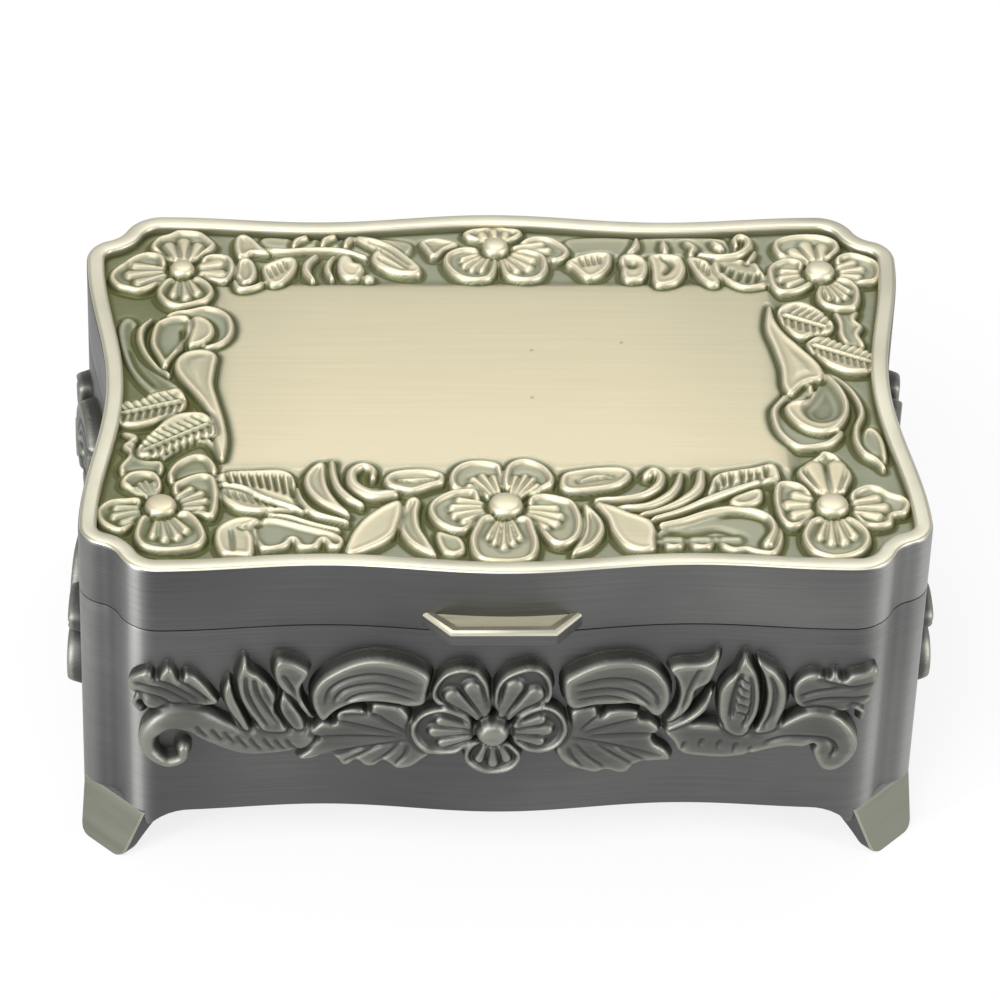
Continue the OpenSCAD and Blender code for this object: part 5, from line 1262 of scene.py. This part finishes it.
# Lining
def pad_piece(name, node, inset, z_low, z_high, crown_up, body):
    """A stuffed pad: rounded sides that pull in, and a crowned face towards the inside of the box."""
    edge = outline(inset)
    flat_z, crown_z = (z_low, z_high) if crown_up else (z_high, z_low)
    shares = [1.0, 1.0, 0.992, 0.975, 0.94, 0.88, 0.8, 0.7, 0.58, 0.45, 0.3, 0.15]
    rises = [0.0, 0.4, 0.62, 0.76, 0.86, 0.93, 0.97, 0.99, 1.0, 1.0, 1.0, 1.0]
    rings = []
    for share, rise in zip(shares, rises):
        ring = edge * share
        wobble = 0.06 * np.sin(ring[:, 0] * 0.41 + 1.3) * np.cos(ring[:, 1] * 0.37) * rise
        height = flat_z + (crown_z - flat_z) * rise - np.sign(crown_z - flat_z) * np.abs(wobble)
        rings.append(np.column_stack([ring, height]))
    verts, faces = capped(rings, [0, 0, flat_z], [0, 0, crown_z])
    if not crown_up:
        faces = [f[::-1] for f in faces]
    obj = add_object(name, verts, faces, body)
    obj.data.materials.append(VELVET)
    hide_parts(node)


def lining_piece(name, node, start, end):
    """A wall lining between two notches: outline samples start to end, a soft strip with a rolled top."""
    count = len(OUTLINE)
    index = [(start + k) % count for k in range((end - start) % count + 1)]
    low, high = FLOOR_Z + 0.05, BODY_TOP - 0.8
    back, front = WALL + 0.07, WALL + 1.2
    section = [(back, low), (back, high - 0.5), (back + 0.2, high - 0.1), (back + 0.55, high),
               (front - 0.2, high - 0.2), (front, high - 0.8), (front - 0.12, high - 3),
               (front, (low + high) / 2), (front - 0.12, low + 3), (front, low + 0.6), (front - 0.3, low)]
    points = np.stack([level(inset, z)[index] for inset, z in section], 1)
    n, m = points.shape[:2]
    faces = grid_faces(n, m, closed=True).tolist()
    faces += [list(range(m)), list(range(n * m - 1, (n - 1) * m - 1, -1))]
    obj = add_object(name, points.reshape(-1, 3), faces, "box")
    obj.data.materials.append(VELVET)
    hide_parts(node)


def build_linings():
    pad_piece("floor_cushion", "floor_pad", WALL + 1.6, FLOOR_Z, FLOOR_PAD_Z, True, "box")
    pad_piece("lid_cushion", "lid_pad", WALL + 0.4, LID_PAD_Z, LID_CARD_Z, False, "lid")
    notch = int(np.argmin(np.hypot(*(OUTLINE - NOTCH).T)))
    count = len(OUTLINE)
    left = (count // 2 - notch) % count
    gap = 1
    lining_piece("lining_back_velvet", "lining_back", notch + gap, left - gap)
    lining_piece("lining_front_velvet", "lining_front", notch + gap + count // 2, left - gap + count // 2)
    lining_piece("lining_right_velvet", "lining_right", count - notch + gap, notch - gap)
    lining_piece("lining_left_velvet", "lining_left", left + gap, count // 2 + notch - gap)


def build_hinge_seats():
    """Flat seats for the hinge leaves, part of the back walls."""
    seat_y, root, bevel = BOX_D / 2 + FRONT_SWELL + 0.1, BOX_D / 2 - 1.3, 0.15
    for name, low, high, body in (("hinge_seat_body", PARTING_Z - SEAT_REACH, BODY_TOP, "box"),
                                  ("hinge_seat_lid", LID_BOTTOM, PARTING_Z + SEAT_REACH, "lid")):
        verts = []
        for y, inset in ((root, 0), (seat_y - bevel, 0), (seat_y, bevel)):
            half, bottom, top = SEAT_HALF - inset, low + inset, high - inset
            verts += [(-half, y, bottom), (half, y, bottom), (half, y, top), (-half, y, top)]
        faces = grid_faces(3, 4, closed=True)[:, ::-1].tolist() + [[0, 1, 2, 3], [11, 10, 9, 8]]
        obj = add_object(name, verts, faces, body)
        # the seats in the dark copy of the metal: painted shade
        obj.data.materials.append(PEWTER_SHADED)
        sharpen(obj, 30)


def dress_nodes():
    """Procedural materials for the CAD nodes that stay as they are."""
    # the base plate in the dark copy of the metal (painted shade), the hinge leaves in the feet's lighter
    # copy (painted light)
    finish = {"base_plate": PEWTER_SHADED, "hinge_body_leaf": FOOT_LIT, "hinge_lid_leaf": FOOT_LIT, "hinge_pin": STEEL,
              "body_rivets": STEEL, "lid_rivets": STEEL, "floor_card": CARD, "lid_card": CARD}
    for node, material in finish.items():
        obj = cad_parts[node]
        obj.data.materials.clear()
        obj.data.materials.append(material)


# Stage, light and camera
def build_floor():
    """A white floor that stays white to the camera and in reflections, but for the object's shadow."""
    reach, z = 3000, -0.02
    obj = add_object("floor", [(-reach, -reach, z), (reach, -reach, z), (reach, reach, z),
                               (-reach, reach, z)], [[0, 1, 2, 3]])
    n = Nodes("floor_white")
    n.bsdf.inputs["Base Color"].default_value = (0.86, 0.86, 0.86, 1)
    n.bsdf.inputs["Roughness"].default_value = 0.9
    path = n.add("ShaderNodeLightPath")
    seen = n.add("ShaderNodeMath", operation="MAXIMUM")
    n.join(path.outputs["Is Camera Ray"], seen.inputs[0])
    n.join(path.outputs["Is Glossy Ray"], seen.inputs[1])
    share = n.add("ShaderNodeMath", operation="MULTIPLY")
    share.inputs[1].default_value = 0.8
    n.join(seen.outputs[0], share.inputs[0])
    glow = n.add("ShaderNodeEmission", Strength=1.0)
    mix = n.add("ShaderNodeMixShader")
    n.join(share.outputs[0], mix.inputs[0])
    n.join(n.bsdf.outputs[0], mix.inputs[1])
    n.join(glow.outputs[0], mix.inputs[2])
    n.join(mix.outputs[0], n.tree.nodes["Material Output"].inputs["Surface"])
    obj.data.materials.append(n.material)


def build_world():
    """Even soft light from all round, behind a background that the camera sees as white."""
    world = bpy.data.worlds.new("studio")
    bpy.context.scene.world = world
    world.use_nodes = True
    tree = world.node_tree
    background = tree.nodes["Background"]
    background.inputs["Color"].default_value = (0.95, 0.97, 1.0, 1)
    background.inputs["Strength"].default_value = 0.5
    white = tree.nodes.new("ShaderNodeBackground")
    path = tree.nodes.new("ShaderNodeLightPath")
    mix = tree.nodes.new("ShaderNodeMixShader")
    tree.links.new(path.outputs["Is Camera Ray"], mix.inputs[0])
    tree.links.new(background.outputs[0], mix.inputs[1])
    tree.links.new(white.outputs[0], mix.inputs[2])
    tree.links.new(mix.outputs[0], tree.nodes["World Output"].inputs["Surface"])


def add_area(name, place, aim, size, power):
    """A rectangular lamp at place that faces aim."""
    light = bpy.data.lights.new(name, "AREA")
    light.shape = "RECTANGLE"
    light.size, light.size_y = size[0] * MM, size[1] * MM
    light.energy = power
    obj = bpy.data.objects.new(name, light)
    obj.location = np.array(place) * MM
    towards = np.array(aim, float) - np.array(place, float)
    x, y, z = towards / np.linalg.norm(towards)
    obj.rotation_euler = (math.acos(-z), 0, math.atan2(y, x) - math.pi / 2)
    bpy.context.scene.collection.objects.link(obj)


def build_camera():
    """The photograph's view, solved from the box's outline in it."""
    elevation, azimuth, roll = math.radians(40.075), math.radians(-3.410), math.radians(-2.120)
    distance, focal_px, shift_right, shift_up = 684.24, 5581.3, 0.600, -13.97
    sensor, photo_px = 36, 1000
    sa, ca, se, ce = math.sin(azimuth), math.cos(azimuth), math.sin(elevation), math.cos(elevation)
    back = np.array([sa * ce, -ca * ce, se])
    right = np.array([ca, sa, 0.0])
    up = np.cross(back, right)
    target = np.array([0, 0, BOX_H]) + right * shift_right + up * shift_up
    place = target + back * distance
    cr, sr = math.cos(roll), math.sin(roll)
    cam_x = cr * right - sr * up
    cam_y = sr * right + cr * up
    camera = bpy.data.cameras.new("camera")
    camera.sensor_width = sensor
    camera.lens = sensor * focal_px / photo_px
    camera.clip_start, camera.clip_end = 0.01, 50
    obj = bpy.data.objects.new("camera", camera)
    axes = np.column_stack([cam_x, cam_y, back, place * MM])
    obj.matrix_world = Matrix([*axes.tolist(), [0, 0, 0, 1]])
    bpy.context.scene.collection.objects.link(obj)
    bpy.context.scene.camera = obj


build_lid_top()
build_lid_shell()
build_body_shell()
for foot_name, foot_x, foot_y in (("foot_front_left", -1, -1), ("foot_front_right", 1, -1),
                                  ("foot_back_left", -1, 1), ("foot_back_right", 1, 1)):
    build_foot(foot_name, foot_x, foot_y)
build_wall_reliefs()
build_tab()
build_linings()
build_hinge_seats()
dress_nodes()
build_floor()
build_world()
add_area("key", (-250, -420, 620), (0, 0, 30), (500, 400), 3.4)
add_area("top", (40, 260, 620), (0, 0, 30), (500, 300), 1.5)
add_area("strip_left", (-420, -330, 120), (0, 0, 20), (60, 420), 2.4)
add_area("strip_right", (460, -260, 120), (0, 0, 20), (60, 420), 1.8)
build_camera()
bpy.context.scene.view_settings.view_transform = "Standard"
